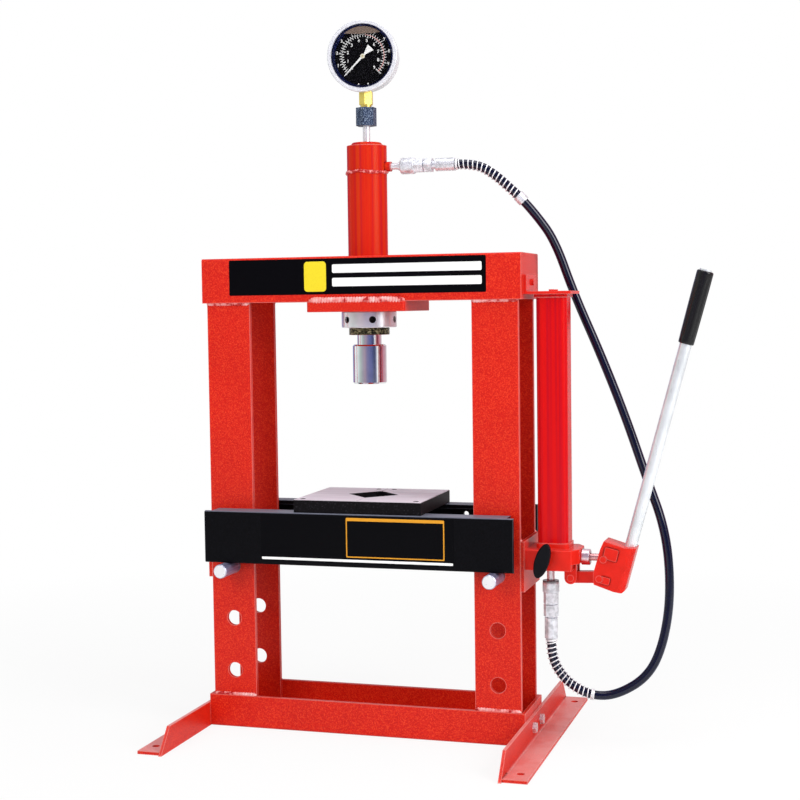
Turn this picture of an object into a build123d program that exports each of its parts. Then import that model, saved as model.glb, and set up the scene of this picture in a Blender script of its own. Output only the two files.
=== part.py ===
from build123d import *
import math
import os

# Benchtop hydraulic shop press: H-frame, hand pump, hose, ram, pressure gauge and bed.
# Millimetres.  The origin is on the floor at the middle of the base.
# +X points to the pump, -Y to the operator and +Z up.

# ---- frame ----
POST_X = 197.5
POST_WIDTH = 66
POST_THICK = 6
POST_OUTER_Y = 50.5
POST_SPAN_Z = (5, 678.5)
PIN_HOLE_R = 11
PIN_HOLE_TOP_Z = 237.5
PIN_HOLE_PITCH = 77
PIN_HOLE_COUNT = 3
WALL = 5
SHEET_BEND_R = 3.5
EDGE_R = 1
BEAM_HALF_X = 236
BEAM_SPAN_Z = (619.5, 683.5)
BEAM_SEAM = 1.2
BASE_HALF_X = 236.5
BASE_HEIGHT = 47
END_PLATE_THICK = 5.5
LEFT_PLATE_SPAN_Z = (220, 286)
PUMP_PLATE_SPAN_Z = (216, 286)
FOOT_THICK = 4.5
BEND_TOP_Z = FOOT_THICK + SHEET_BEND_R
FOOT_WIDTH = 38
FOOT_HEIGHT = 35
FOOT_HALF_Y = 222.5
FOOT_TOP_HALF_Y = 193
BENCH_HOLE_X = 259.5
BENCH_HOLE_Y = 190
BENCH_HOLE_R = 5.5
FOOT_BOLT_Y = 24
FOOT_BOLT_Z = 20
M8_R = 4
M8_HEX = 13

# ---- ram ----
CYLINDER_R = 57.15 / 2
CYLINDER_HOLE_R = 57.3 / 2
BORE_R = 21.5
TUBE_SPAN_Z = (571.6, 803)
HEAD_TOP_Z = 841
SUPPORT_SIZE = (145, 128)
SUPPORT_BOTTOM_Z = 605
RING_NUT_R = 39.7
RING_NUT_BOTTOM_Z = 582
ROD_R = 17.5
RAM_HEAD_R = 24.3
RAM_HEAD_SPAN_Z = (501.5, 557.7)
BUSH_SPAN_Z = (573, 595)
PISTON_SPAN_Z = (768, 788)
RUNNING_FIT = 0.05

# ---- gauge ----
GAUGE_Z = 965.2
BEZEL_R = 50.4
CASE_R = 47.5
DIAL_R = 44
STEM_R = 5.2
DIAL_Y = -17
GAUGE_TURN_DEG = 6.7
NEEDLE_ZERO_DEG = 225

# ---- hydraulic line ----
INLET_Z = 810.5
OUTLET_X = 265
PUMP_Y = -11
HOSE_R = 6.25
GUARD_INNER_R = 6.6
GUARD_OUTER_R = 8.3
UPPER_GUARD_LENGTH = 114
LOWER_GUARD_LENGTH = 108
HOSE_ROUTE = [
    (130.5, 0, 810.5),
    (153, 0, 810.5),
    (178, 2, 802),
    (215, 6, 769),
    (241, 15, 739),
    (266, 31, 701),
    (290, 42, 627),
    (330, 34, 539),
    (365, 27, 453),
    (393, 24, 372),
    (421, 21, 296),
    (428, 17, 211),
    (419, 9, 142),
    (399, 1, 96),
    (357, -5, 69),
    (322, -9, 66),
    (290, -11, 82),
    (272, -11, 104),
    (265, -11, 125),
    (265, -11, 145.8),
]

# ---- pump ----
PUMP_FRONT_Y = -45
PUMP_BACK_Y = 22
PUMP_LEFT_X = BEAM_HALF_X
PUMP_SPAN_Z = (246, 274.5)
PUMP_NOSE_X = 309
PLUNGER_Z = 261.8
PLUNGER_R = 5
LUG_PIN = (295.2, 233.5)
FULCRUM = (336, 234.8)
DRIVE_PIN = (341.8, 261.8)
LEVER_PIN_R = 4
SOCKET_CORNER_R = 8.5
SOCKET_BACK = 9.4
SLOT_TOP_Z = 276
PAD_LEAN_DEG = 14
LEVER_PADS = (
    (DRIVE_PIN, (-1, 18), (1.5, 18)),
    (FULCRUM, (2, 15), (-5, 5)),
)
RESERVOIR_X = 271.5
RESERVOIR_SIDE = 43
RESERVOIR_SPAN_Z = (281.7, 621.5)
HANDLE_FOOT = (376, 275.5)
HANDLE_LEAN_DEG = 15.2
HANDLE_R = 8.25
GRIP_R = 11.5
GRIP_SPAN = (291, 392)
KNOB_CENTRE = (263, 262)
KNOB_LEAN_DEG = 17

# ---- bed ----
PIN_R = 10
PIN_HALF_LENGTH = 100
PIN_Z = PIN_HOLE_TOP_Z - PIN_HOLE_R + PIN_R + RUNNING_FIT
BED_HALF_X = 227.5
BED_HEIGHT = 75
BED_BOTTOM_Z = PIN_Z + PIN_R + RUNNING_FIT
BED_TOP_Z = BED_BOTTOM_Z + BED_HEIGHT
BED_WALL = 6
BED_INNER_Y = 51
BED_OUTER_Y = 82.5
FLANGE_CUT_BACK = 10
ARBOR_THICK = 18.5
ARBOR_CHAMFER = 0.7
ARBOR_HALF_Y = 76.7
ARBOR_SPLIT_X = 2
ARBOR_GAP = 0.4
ARBOR_HALF_SPAN = 94
NOTCH_HALF_X = 38
NOTCH_HALF_Y = 40
NOTCH_Y = 2.5


# ---- drawing helpers ----
def block(x_span, y_span, z_span):
    """Box between a low and a high limit on each axis."""
    spans = (x_span, y_span, z_span)
    size = [high - low for low, high in spans]
    centre = [(high + low) / 2 for low, high in spans]
    return Pos(*centre) * Box(*size)


def rod_x(start, end, y, z, radius):
    """Round bar along X."""
    return Pos((start + end) / 2, y, z) * Rot(0, 90, 0) * Cylinder(radius, end - start)


def rod_y(start, end, x, z, radius):
    """Round bar along Y."""
    return Pos(x, (start + end) / 2, z) * Rot(90, 0, 0) * Cylinder(radius, end - start)


def rod_z(start, end, x, y, radius):
    """Round bar along Z."""
    return Pos(x, y, (start + end) / 2) * Cylinder(radius, end - start)


def outline_y(points, y_span):
    """Prism of an outline drawn in X and Z, between two Y limits."""
    plane = Plane((0, y_span[1], 0), x_dir=(1, 0, 0), z_dir=(0, -1, 0))
    return extrude(plane * Polygon(*points, align=None), y_span[1] - y_span[0], dir=(0, -1, 0))


def outline_z(points, z_span):
    """Prism of an outline drawn in X and Y, between two Z limits."""
    plane = Plane((0, 0, z_span[0]))
    return extrude(plane * Polygon(*points, align=None), z_span[1] - z_span[0], dir=(0, 0, 1))


def hex_bar(place, start, end, across_flats, turn=0):
    """Six-sided bar along the Z axis of a place, between two stations on that axis."""
    face = Rot(0, 0, turn) * RegularPolygon(across_flats / 2, 6, major_radius=False)
    return place * Pos(0, 0, start) * extrude(face, end - start)


def bar(place, start, end, radius):
    """Round bar along the Z axis of a place, between two stations on that axis."""
    return place * Pos(0, 0, (start + end) / 2) * Cylinder(radius, end - start)


def mirrored_x(shape):
    """The same shape on the other side of the middle plane."""
    return mirror(shape, about=Plane.YZ)


# ---- frame ----
def upright(side, front):
    """One flat post of the frame with its row of bed pin holes."""
    x = side * POST_X
    outer = -POST_OUTER_Y if front else POST_OUTER_Y
    inner = outer + POST_THICK if front else outer - POST_THICK
    y_span = (min(outer, inner), max(outer, inner))
    post = block((x - POST_WIDTH / 2, x + POST_WIDTH / 2), y_span, POST_SPAN_Z)
    for step in range(PIN_HOLE_COUNT):
        post -= rod_y(-60, 60, x, PIN_HOLE_TOP_Z - step * PIN_HOLE_PITCH, PIN_HOLE_R)
    return post


def upper_beam():
    """Channel open downward, with end walls folded in to a middle seam."""
    low, high = BEAM_SPAN_Z
    half_y = POST_OUTER_Y + WALL
    beam = block((-BEAM_HALF_X, BEAM_HALF_X), (-half_y, half_y), (low, high))
    beam = fillet(beam.edges().filter_by(Axis.X).group_by(Axis.Z)[-1], SHEET_BEND_R)
    beam -= block((WALL - BEAM_HALF_X, BEAM_HALF_X - WALL), (-POST_OUTER_Y, POST_OUTER_Y), (low, high - WALL))
    for side in (-1, 1):
        end = side * (BEAM_HALF_X - WALL / 2)
        seam_x = (end - WALL, end + WALL)
        beam -= block(seam_x, (-BEAM_SEAM / 2, BEAM_SEAM / 2), (low, (low + high) / 2))
    return beam - rod_z(low, high, 0, 0, CYLINDER_HOLE_R)


def support_plate():
    """Plate under the beam that the ring nut clamps against."""
    half_x, half_y = SUPPORT_SIZE[0] / 2, SUPPORT_SIZE[1] / 2
    plate = block((-half_x, half_x), (-half_y, half_y), (SUPPORT_BOTTOM_Z, BEAM_SPAN_Z[0]))
    plate = fillet(plate.edges().filter_by(Axis.Z), 4)
    plate = fillet(plate.edges().group_by(Axis.Z)[0], EDGE_R)
    return plate - rod_z(SUPPORT_BOTTOM_Z, BEAM_SPAN_Z[0], 0, 0, CYLINDER_HOLE_R)


def base_channel():
    """Channel open upward that joins the two pairs of posts at the floor."""
    half_y = POST_OUTER_Y + WALL
    base = block((-BASE_HALF_X, BASE_HALF_X), (-half_y, half_y), (0, BASE_HEIGHT))
    base = fillet(base.edges().filter_by(Axis.X).group_by(Axis.Z)[0], SHEET_BEND_R)
    inside_x = (WALL - BASE_HALF_X, BASE_HALF_X - WALL)
    base -= block(inside_x, (-POST_OUTER_Y, POST_OUTER_Y), (WALL, BASE_HEIGHT))
    for y in (-FOOT_BOLT_Y, FOOT_BOLT_Y):
        base -= rod_x(-BASE_HALF_X, BASE_HALF_X, y, FOOT_BOLT_Z, M8_R)
    return base


def right_foot():
    """Angle foot: an upright flange with sloped ends and a floor flange with bench holes."""
    inner = BASE_HALF_X
    outer = inner + FOOT_THICK
    slope = [(-FOOT_HALF_Y, 0), (FOOT_HALF_Y, 0), (FOOT_TOP_HALF_Y, FOOT_HEIGHT), (-FOOT_TOP_HALF_Y, FOOT_HEIGHT)]
    plane = Plane((inner, 0, 0), x_dir=(0, 1, 0), z_dir=(1, 0, 0))
    foot = extrude(plane * Polygon(*slope, align=None), FOOT_THICK, dir=(1, 0, 0))
    foot += block((outer, inner + FOOT_WIDTH), (-FOOT_TOP_HALF_Y - 25, FOOT_TOP_HALF_Y + 25), (0, FOOT_THICK))
    corner = block((outer, outer + SHEET_BEND_R), (-FOOT_TOP_HALF_Y, FOOT_TOP_HALF_Y), (FOOT_THICK, BEND_TOP_Z))
    foot += corner - rod_y(-FOOT_HALF_Y, FOOT_HALF_Y, outer + SHEET_BEND_R, BEND_TOP_Z, SHEET_BEND_R)
    for y in (-BENCH_HOLE_Y, BENCH_HOLE_Y):
        foot -= rod_z(0, FOOT_THICK, BENCH_HOLE_X, y, BENCH_HOLE_R)
    for y in (-FOOT_BOLT_Y, FOOT_BOLT_Y):
        foot -= rod_x(inner, outer, y, FOOT_BOLT_Z, M8_R)
    return foot


def foot_bolts():
    """Four hex bolts with nuts that hold the feet to the base."""
    pieces = []
    head_start = BASE_HALF_X + FOOT_THICK
    nut_end = BASE_HALF_X - WALL
    for y in (-FOOT_BOLT_Y, FOOT_BOLT_Y):
        place = Plane((0, y, FOOT_BOLT_Z), x_dir=(0, 1, 0), z_dir=(1, 0, 0)).location
        bolt = bar(place, nut_end - 9, head_start, M8_R) + hex_bar(place, head_start, head_start + 5.3, M8_HEX)
        nut = hex_bar(place, nut_end - 6.5, nut_end, M8_HEX) - bar(place, nut_end - 7, nut_end, M8_R)
        pieces += [bolt, nut, mirrored_x(bolt), mirrored_x(nut)]
    return Compound(children=pieces)


def frame_parts():
    """Every fixed piece of the welded and bolted frame."""
    half_y = POST_OUTER_Y
    inner_x = BEAM_HALF_X - END_PLATE_THICK
    pump_plate = block((inner_x, BEAM_HALF_X), (-half_y, half_y), PUMP_PLATE_SPAN_Z)
    for y, z in PUMP_BOLTS:
        pump_plate -= rod_x(inner_x, BEAM_HALF_X, y, z, M8_R)
    parts = {
        "left_side_plate": block((-BEAM_HALF_X, -inner_x), (-half_y, half_y), LEFT_PLATE_SPAN_Z),
        "pump_mounting_plate": pump_plate,
        "upper_beam": upper_beam(),
        "cylinder_support_plate": support_plate(),
        "base_channel": base_channel(),
        "right_foot": right_foot(),
        "left_foot": mirrored_x(right_foot()),
        "foot_bolts": foot_bolts(),
    }
    for side, side_name in ((-1, "left"), (1, "right")):
        for front, row_name in ((True, "front"), (False, "rear")):
            parts[f"{side_name}_{row_name}_upright"] = upright(side, front)
    return parts


# ---- ram ----
def cylinder_head():
    """Solid top of the cylinder with the oil port, its boss and the gauge port."""
    top = HEAD_TOP_Z
    head = rod_z(TUBE_SPAN_Z[1], top, 0, 0, CYLINDER_R)
    head += Pos(0, 0, top + 2.15) * Cone(24, 20.5, 4.3)
    head += rod_x(20, 36.5, 0, INLET_Z, 7)
    head -= rod_x(20, 36.5, 0, INLET_Z, 4.8)
    head -= rod_x(0, 21, 0, INLET_Z, 2.5)
    head -= rod_z(TUBE_SPAN_Z[1], top - 6, 0, 0, 2.5)
    return head - rod_z(top - 6, top + 5, 0, 0, STEM_R)


def ring_nut():
    """Round nut with six spanner holes around its rim."""
    low, high = RING_NUT_BOTTOM_Z, SUPPORT_BOTTOM_Z
    nut = rod_z(low, high, 0, 0, RING_NUT_R)
    nut = chamfer(nut.edges(), 1)
    nut -= rod_z(low, high, 0, 0, CYLINDER_R)
    for step in range(6):
        nut -= Rot(0, 0, 60 * step - 65) * rod_x(CYLINDER_R, RING_NUT_R + 1, 0, (low + high) / 2, 5)
    return nut


def ring(start, end, outer, inner):
    """Round ring on the ram axis."""
    return rod_z(start, end, 0, 0, outer) - rod_z(start, end, 0, 0, inner)


def piston():
    """Piston with a groove for its seal, held on the neck of the rod."""
    low, high = PISTON_SPAN_Z
    return ring(low, high, BORE_R - 0.1, 12) - (
        ring(low + 6, high - 6, BORE_R, 18)
    )


def ram_head():
    """Chrome pressing head with a blind socket for the rod."""
    low, high = RAM_HEAD_SPAN_Z
    head = rod_z(low, high, 0, 0, RAM_HEAD_R)
    head = chamfer(head.edges(), 2)
    return head - rod_z(535, high, 0, 0, ROD_R)


def ram_parts():
    """Cylinder, its fixings and everything that travels with the rod."""
    low, high = TUBE_SPAN_Z
    rod_top = PISTON_SPAN_Z[0] - 4
    return {
        "cylinder_tube": ring(low, high, CYLINDER_R, BORE_R),
        "cylinder_head": cylinder_head(),
        "cylinder_ring_nut": ring_nut(),
        "rod_guide_bush": ring(*BUSH_SPAN_Z, BORE_R, ROD_R + RUNNING_FIT),
        "piston_rod": rod_z(535, rod_top, 0, 0, ROD_R) + rod_z(rod_top, PISTON_SPAN_Z[1], 0, 0, 12),
        "piston": piston(),
        "piston_seal": ring(PISTON_SPAN_Z[0] + 6, PISTON_SPAN_Z[1] - 6, BORE_R - 0.08, 18),
        "ram_head": ram_head(),
        "return_spring": ring(BUSH_SPAN_Z[1] + 1, PISTON_SPAN_Z[0] - 5, 20.9, 18.1),
    }


# ---- gauge ----
def gauge_case():
    """Round cup, open to the front, with a hole for the pressure connection."""
    case = rod_y(-22, 9, 0, GAUGE_Z, CASE_R) - rod_y(-22, 7, 0, GAUGE_Z, CASE_R - 2)
    return case - rod_z(GAUGE_Z - CASE_R - 2, GAUGE_Z - CASE_R + 8, 0, 0, 6)


def gauge_bezel():
    """Metal ring round the case with a lip over the glass."""
    bezel = rod_y(-26, -18, 0, GAUGE_Z, BEZEL_R)
    bezel -= rod_y(-24, -18, 0, GAUGE_Z, CASE_R)
    return fillet(bezel.edges().group_by(Axis.Y)[0], 1.5) - rod_y(-26, -24, 0, GAUGE_Z, DIAL_R + 0.5)


def gauge_needle():
    """Pointer with a long tip, a short tail, a hub and its spindle."""
    blade = [(-18, -3), (-18, 3), (-4, 1.6), (36, 0.5), (36, -0.5), (-4, -1.6)]
    turned = outline_y(blade, (-20, -19.4))
    turned = Rot(0, -NEEDLE_ZERO_DEG, 0) * turned
    hub = rod_y(-21, -18, 0, 0, 4) + rod_y(-18, -8, 0, 0, 1.2)
    return Pos(0, 0, GAUGE_Z) * (turned + hub)


def gauge_movement():
    """Curved pressure tube on its socket, and the block that carries the needle spindle."""
    section = Plane.XZ * Pos(33, 0, 0) * Rectangle(4, 8)
    curve = revolve(section, Axis.Z, 250)
    curve = Pos(0, -3, GAUGE_Z) * Rot(0, 95, 0) * Rot(90, 0, 0) * curve
    socket = block((-7, 7), (-9, 3), (GAUGE_Z - 38, GAUGE_Z - 28))
    carrier = block((-9, 9), (-14, -7), (GAUGE_Z - 9, GAUGE_Z + 9))
    carrier += block((-3, 3), (-12, -9), (GAUGE_Z - 30, GAUGE_Z))
    carrier -= rod_y(-14, -6, 0, GAUGE_Z, 1.2 + RUNNING_FIT)
    return curve + socket + carrier


def gauge_parts():
    """Pressure gauge on its stem above the cylinder."""
    stem_top = 869.3
    nut_top = 895.1
    hex_top = 917.4
    upright_place = Location((0, 0, 0))
    connection = rod_z(nut_top, 899, 0, 0, 8)
    connection += hex_bar(upright_place, 899, hex_top, 18, 30)
    connection += rod_z(hex_top, GAUGE_Z - 38, 0, 0, 6)
    stem = ring(HEAD_TOP_Z - 6, nut_top - 8, STEM_R, 1.8)
    nut = hex_bar(upright_place, stem_top, nut_top, 26, 30)
    dial = rod_y(DIAL_Y, DIAL_Y + 1, 0, GAUGE_Z, CASE_R - 2) - rod_y(DIAL_Y, DIAL_Y + 1, 0, GAUGE_Z, 2)
    swivel = {
        "gauge_connection": connection,
        "gauge_case": gauge_case(),
        "gauge_bezel": gauge_bezel(),
        "gauge_lens": rod_y(-24, -22, 0, GAUGE_Z, CASE_R - 0.3),
        "gauge_dial": dial,
        "gauge_needle": gauge_needle(),
        "gauge_movement": gauge_movement(),
    }
    parts = {node: Rot(0, 0, GAUGE_TURN_DEG) * shape for node, shape in swivel.items()}
    parts["gauge_stem"] = stem
    parts["gauge_hex_nut"] = nut - rod_z(stem_top, nut_top - 8, 0, 0, STEM_R)
    return parts


# ---- hydraulic line ----
INLET = Plane((0, 0, INLET_Z), x_dir=(0, 1, 0), z_dir=(1, 0, 0)).location
OUTLET = Plane((OUTLET_X, PUMP_Y, PUMP_SPAN_Z[0]), x_dir=(1, 0, 0), z_dir=(0, 0, -1)).location


def coupler(place, collar, hexagon, nut, ferrule, collar_r):
    """Collar, body, hose nut and ferrule; each pair is a start and an end along the line."""
    sleeve = bar(place, *collar, collar_r) - bar(place, collar[0] - 1, collar[1] + 1, 9)
    body = hex_bar(place, *hexagon, 18.5) + bar(place, collar[0] + 3, hexagon[0], 9)
    body -= bar(place, collar[0] + 2, collar[1] + 2, 5.4)
    body -= bar(place, hexagon[1] - 7, hexagon[1] + 1, 7)
    hose_nut = hex_bar(place, *nut, 18.5) + bar(place, hexagon[1] - 7, nut[0], 7)
    hose_nut -= bar(place, nut[1] - 4, nut[1] + 1, 6)
    swaged = bar(place, *ferrule, 9.1) + bar(place, nut[1] - 4, ferrule[0], 6)
    return sleeve, body, hose_nut, swaged


def fitting_parts():
    """Quick couplers at the cylinder and under the pump, with their nipples."""
    inlet = coupler(INLET, (51.6, 71.6), (71.6, 84.4), (86.5, 97.2), (102.8, 130.5), 11.5)
    outlet = coupler(OUTLET, (21.5, 35.6), (35.6, 51.8), (53.1, 69.5), (71.5, 100.2), 11.6)
    inlet_nipple = bar(INLET, 21, 48, 4.8) + bar(INLET, 48, 54.6, 6.5) + bar(INLET, 54.6, 68, 5.4)
    outlet_nipple = bar(OUTLET, -9, 30, 5.4) + bar(OUTLET, 18.7, 21.4, 11.4)
    names = ("coupler_collars", "coupler_bodies", "hose_nuts", "hose_ferrules")
    parts = {name: Compound(children=[first, second]) for name, first, second in zip(names, inlet, outlet)}
    parts["coupler_nipples"] = Compound(children=[inlet_nipple, outlet_nipple])
    return parts


def corner_radii(points):
    """Arc radius at every inner point: 0.45 of its shorter run over the tangent of half its turn."""
    radii = []
    for before, corner, after in zip(points, points[1:], points[2:]):
        arriving = Vector(*corner) - Vector(*before)
        leaving = Vector(*after) - Vector(*corner)
        half_turn = math.radians(arriving.get_angle(leaving)) / 2
        radii.append(0.45 * min(arriving.length, leaving.length) / math.tan(half_turn))
    return radii


def tube_along(path, radius):
    """Round solid of one radius along a path."""
    start = Plane(path @ 0, z_dir=path % 0)
    return sweep(start * Circle(radius), path=path)


def hose_parts():
    """Hose and the two wire guards that keep its ends from kinking."""
    radii = corner_radii(HOSE_ROUTE)
    path = Wire(FilletPolyline(*HOSE_ROUTE, radius=radii).edges())
    print("hose radii", [round(radius) for radius in radii])
    hose = tube_along(path, HOSE_R)
    print("hose length", round(path.length, 1), "mm")
    print("hose volume over section times length", round(hose.volume / (math.pi * HOSE_R**2 * path.length), 4))
    upper = path.trim(0, UPPER_GUARD_LENGTH / path.length)
    lower = path.trim(1 - LOWER_GUARD_LENGTH / path.length, 1)
    return {
        "hydraulic_hose": hose,
        "upper_spring_guard": tube_along(upper, GUARD_OUTER_R) - tube_along(upper, GUARD_INNER_R),
        "lower_spring_guard": tube_along(lower, GUARD_OUTER_R) - tube_along(lower, GUARD_INNER_R),
    }


# ---- pump ----
PUMP_BOLTS = ((-36, 261), (13, 261))
RESERVOIR_SCREW_Y = (PUMP_Y - 14, PUMP_Y + 14)
BRACKET_SPAN_Z = (626, 653)
BRACKET_THICK = 4
BRACKET_END_X = 302
BRACKET_BOLT = (PUMP_Y + 3, 643)
LUG_R = 8.5


def pump_body():
    """Block with the plunger bore, the outlet, the release valve hole and the link lug."""
    low, high = PUMP_SPAN_Z
    step_z = 254.6
    plan = [
        (PUMP_LEFT_X, PUMP_FRONT_Y), (300, PUMP_FRONT_Y), (PUMP_NOSE_X, PUMP_Y - 19),
        (PUMP_NOSE_X, PUMP_Y + 19), (300, PUMP_BACK_Y), (PUMP_LEFT_X, PUMP_BACK_Y),
    ]
    body = outline_z(plan, (step_z, high))
    corners = body.edges().filter_by(Axis.Z).sort_by(Axis.X)[2:]
    body = fillet(corners, 3)
    body = chamfer(body.edges().group_by(Axis.Z)[-1].sort_by(Axis.X)[1:], EDGE_R)
    body += block((PUMP_LEFT_X, 300), (PUMP_FRONT_Y, PUMP_BACK_Y), (low, step_z))
    lug_x, lug_z = LUG_PIN
    for y_span in ((PUMP_Y - 14, PUMP_Y - 7), (PUMP_Y + 7, PUMP_Y + 14)):
        body += block((lug_x - LUG_R, lug_x + LUG_R), y_span, (lug_z, step_z))
        body += rod_y(*y_span, lug_x, lug_z, LUG_R)
    body -= rod_y(PUMP_Y - 14, PUMP_Y + 14, lug_x, lug_z, LEVER_PIN_R)
    body -= rod_x(255, PUMP_NOSE_X, PUMP_Y, PLUNGER_Z, PLUNGER_R + RUNNING_FIT)
    body -= rod_x(PUMP_NOSE_X - 8, PUMP_NOSE_X, PUMP_Y, PLUNGER_Z, 9)
    body -= rod_z(low, 255, OUTLET_X, PUMP_Y, 5.4) + rod_z(255, PLUNGER_Z, OUTLET_X, PUMP_Y, 1.5)
    body -= rod_y(PUMP_FRONT_Y, PUMP_Y - 9, *KNOB_CENTRE, M8_R + RUNNING_FIT)
    body -= rod_y(PUMP_Y - 9, PUMP_Y, *KNOB_CENTRE, 1.5)
    for y, z in PUMP_BOLTS:
        body -= rod_x(PUMP_LEFT_X, 250, y, z, M8_R)
    return body


def rounded_column(side, corner, z_span):
    """Square column with round corners on the reservoir axis."""
    face = Plane((RESERVOIR_X, PUMP_Y, z_span[0])) * RectangleRounded(side, side, corner)
    return extrude(face, z_span[1] - z_span[0])


def reservoir_bracket():
    """Angle from the beam's end to the top of the oil reservoir."""
    low, high = BRACKET_SPAN_Z
    y_span = (PUMP_FRONT_Y, PUMP_BACK_Y - 2)
    angle = block((BEAM_HALF_X, BEAM_HALF_X + WALL), y_span, (low, high))
    angle += block((BEAM_HALF_X + WALL, BRACKET_END_X), y_span, (low, low + BRACKET_THICK))
    bend = angle.edges().filter_by(Axis.Y).sort_by_distance((BEAM_HALF_X + WALL, PUMP_Y, low + BRACKET_THICK))
    angle = fillet(bend[0], 2)
    for y in RESERVOIR_SCREW_Y:
        angle -= rod_z(low, high, RESERVOIR_X, y, 2)
    return angle


def pump_screws():
    """Bolts of the pump block, and the screws of the reservoir cap and bracket."""
    pieces = []
    plate_x = BEAM_HALF_X - END_PLATE_THICK
    for y, z in PUMP_BOLTS:
        place = Plane((0, y, z), x_dir=(0, 1, 0), z_dir=(1, 0, 0)).location
        pieces.append(hex_bar(place, plate_x - 5.3, plate_x, M8_HEX) + bar(place, plate_x, 250, M8_R))
    top = BRACKET_SPAN_Z[0] + BRACKET_THICK
    for y in RESERVOIR_SCREW_Y:
        head = rod_z(top, top + 2.4, RESERVOIR_X, y, 3.6)
        pieces.append(head + rod_z(RESERVOIR_SPAN_Z[1] - 0.5, top, RESERVOIR_X, y, 2))
    place = Plane((0, *BRACKET_BOLT), x_dir=(0, 1, 0), z_dir=(1, 0, 0)).location
    outer = BEAM_HALF_X + WALL
    pieces.append(bar(place, outer, outer + 3, 4.5))
    return Compound(children=pieces)


def release_knob():
    """Oval wing knob on the spindle of the release valve."""
    face = Ellipse(24.5, 10)
    knob = Rot(90, 0, 0) * extrude(face, 9)
    knob = fillet(knob.edges(), 2)
    knob = Pos(KNOB_CENTRE[0], -56, KNOB_CENTRE[1]) * Rot(0, KNOB_LEAN_DEG - 90, 0) * knob
    return knob + rod_y(-57, PUMP_Y - 10, *KNOB_CENTRE, M8_R)


def pump_link():
    """Flat link from the lug under the pump to the lever's fulcrum."""
    y_span = (PUMP_Y - 6, PUMP_Y + 6)
    lean = math.degrees(math.atan2(FULCRUM[1] - LUG_PIN[1], FULCRUM[0] - LUG_PIN[0]))
    reach = math.dist(LUG_PIN, FULCRUM)
    middle = Pos((LUG_PIN[0] + FULCRUM[0]) / 2, PUMP_Y, (LUG_PIN[1] + FULCRUM[1]) / 2)
    link = middle * Rot(0, -lean, 0) * Box(reach, 12, 16)
    for centre in (LUG_PIN, FULCRUM):
        link += rod_y(*y_span, *centre, 8)
    for centre in (LUG_PIN, FULCRUM):
        link -= rod_y(*y_span, *centre, LEVER_PIN_R + RUNNING_FIT)
    return link


def plunger():
    """Pump plunger with an oversize eye round the lever's drive pin."""
    eye_x, eye_z = DRIVE_PIN
    rod = rod_x(272, eye_x, PUMP_Y, PLUNGER_Z, PLUNGER_R)
    rod += rod_y(PUMP_Y - 5, PUMP_Y + 5, eye_x, eye_z, 9)
    return rod - rod_y(PUMP_Y - 6, PUMP_Y + 6, eye_x, eye_z, LEVER_PIN_R + 2.1)


def lever_block():
    """Cast lever with cheeks round the link and plunger, and a round-backed socket for the handle."""
    outline = [
        (342.6, 287.4), (370.5, 278.8), (392, 278), (392, 240), (378, 225), (366.4, 215.6),
        (355, 217.6), (328.2, 226.7), (327.7, 242.1), (337.5, 275.8),
    ]
    lever = outline_y(outline, (PUMP_Y - 19, PUMP_Y + 19))
    lever = fillet(lever.edges().filter_by(Axis.Y), 1.5)
    section = Pos(SOCKET_BACK - 50, 0) * RectangleRounded(100, 38, SOCKET_CORNER_R)
    lever = lever & HANDLE * Pos(0, 0, -80) * extrude(section, 120)
    for (x, z), x_span, z_span in LEVER_PADS:
        pad = block(x_span, (PUMP_Y - 20.8, PUMP_Y - 18), z_span)
        pad = fillet(pad.edges().filter_by(Axis.Y), 2)
        lever += Pos(x, 0, z) * Rot(0, PAD_LEAN_DEG, 0) * pad
    lever -= block((300, 355), (PUMP_Y - 7.5, PUMP_Y + 7.5), (200, SLOT_TOP_Z))
    for x, z in (DRIVE_PIN, FULCRUM):
        lever -= rod_y(PUMP_Y - 21, PUMP_Y + 19, x, z, LEVER_PIN_R)
        lever -= rod_y(PUMP_Y - 21, PUMP_Y - 19, x, z, 5.3)
    return lever - bar(HANDLE, -45, 30, HANDLE_R)


HANDLE = Location((HANDLE_FOOT[0], PUMP_Y, HANDLE_FOOT[1]), (0, HANDLE_LEAN_DEG, 0))


def headed_pin(x, z, half_length):
    """Pin along Y with a low round head at each end."""
    pin = rod_y(PUMP_Y - half_length, PUMP_Y + half_length, x, z, LEVER_PIN_R)
    pin += rod_y(PUMP_Y - half_length - 1.5, PUMP_Y - half_length, x, z, 5)
    return pin + rod_y(PUMP_Y + half_length, PUMP_Y + half_length + 1.5, x, z, 5)


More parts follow.
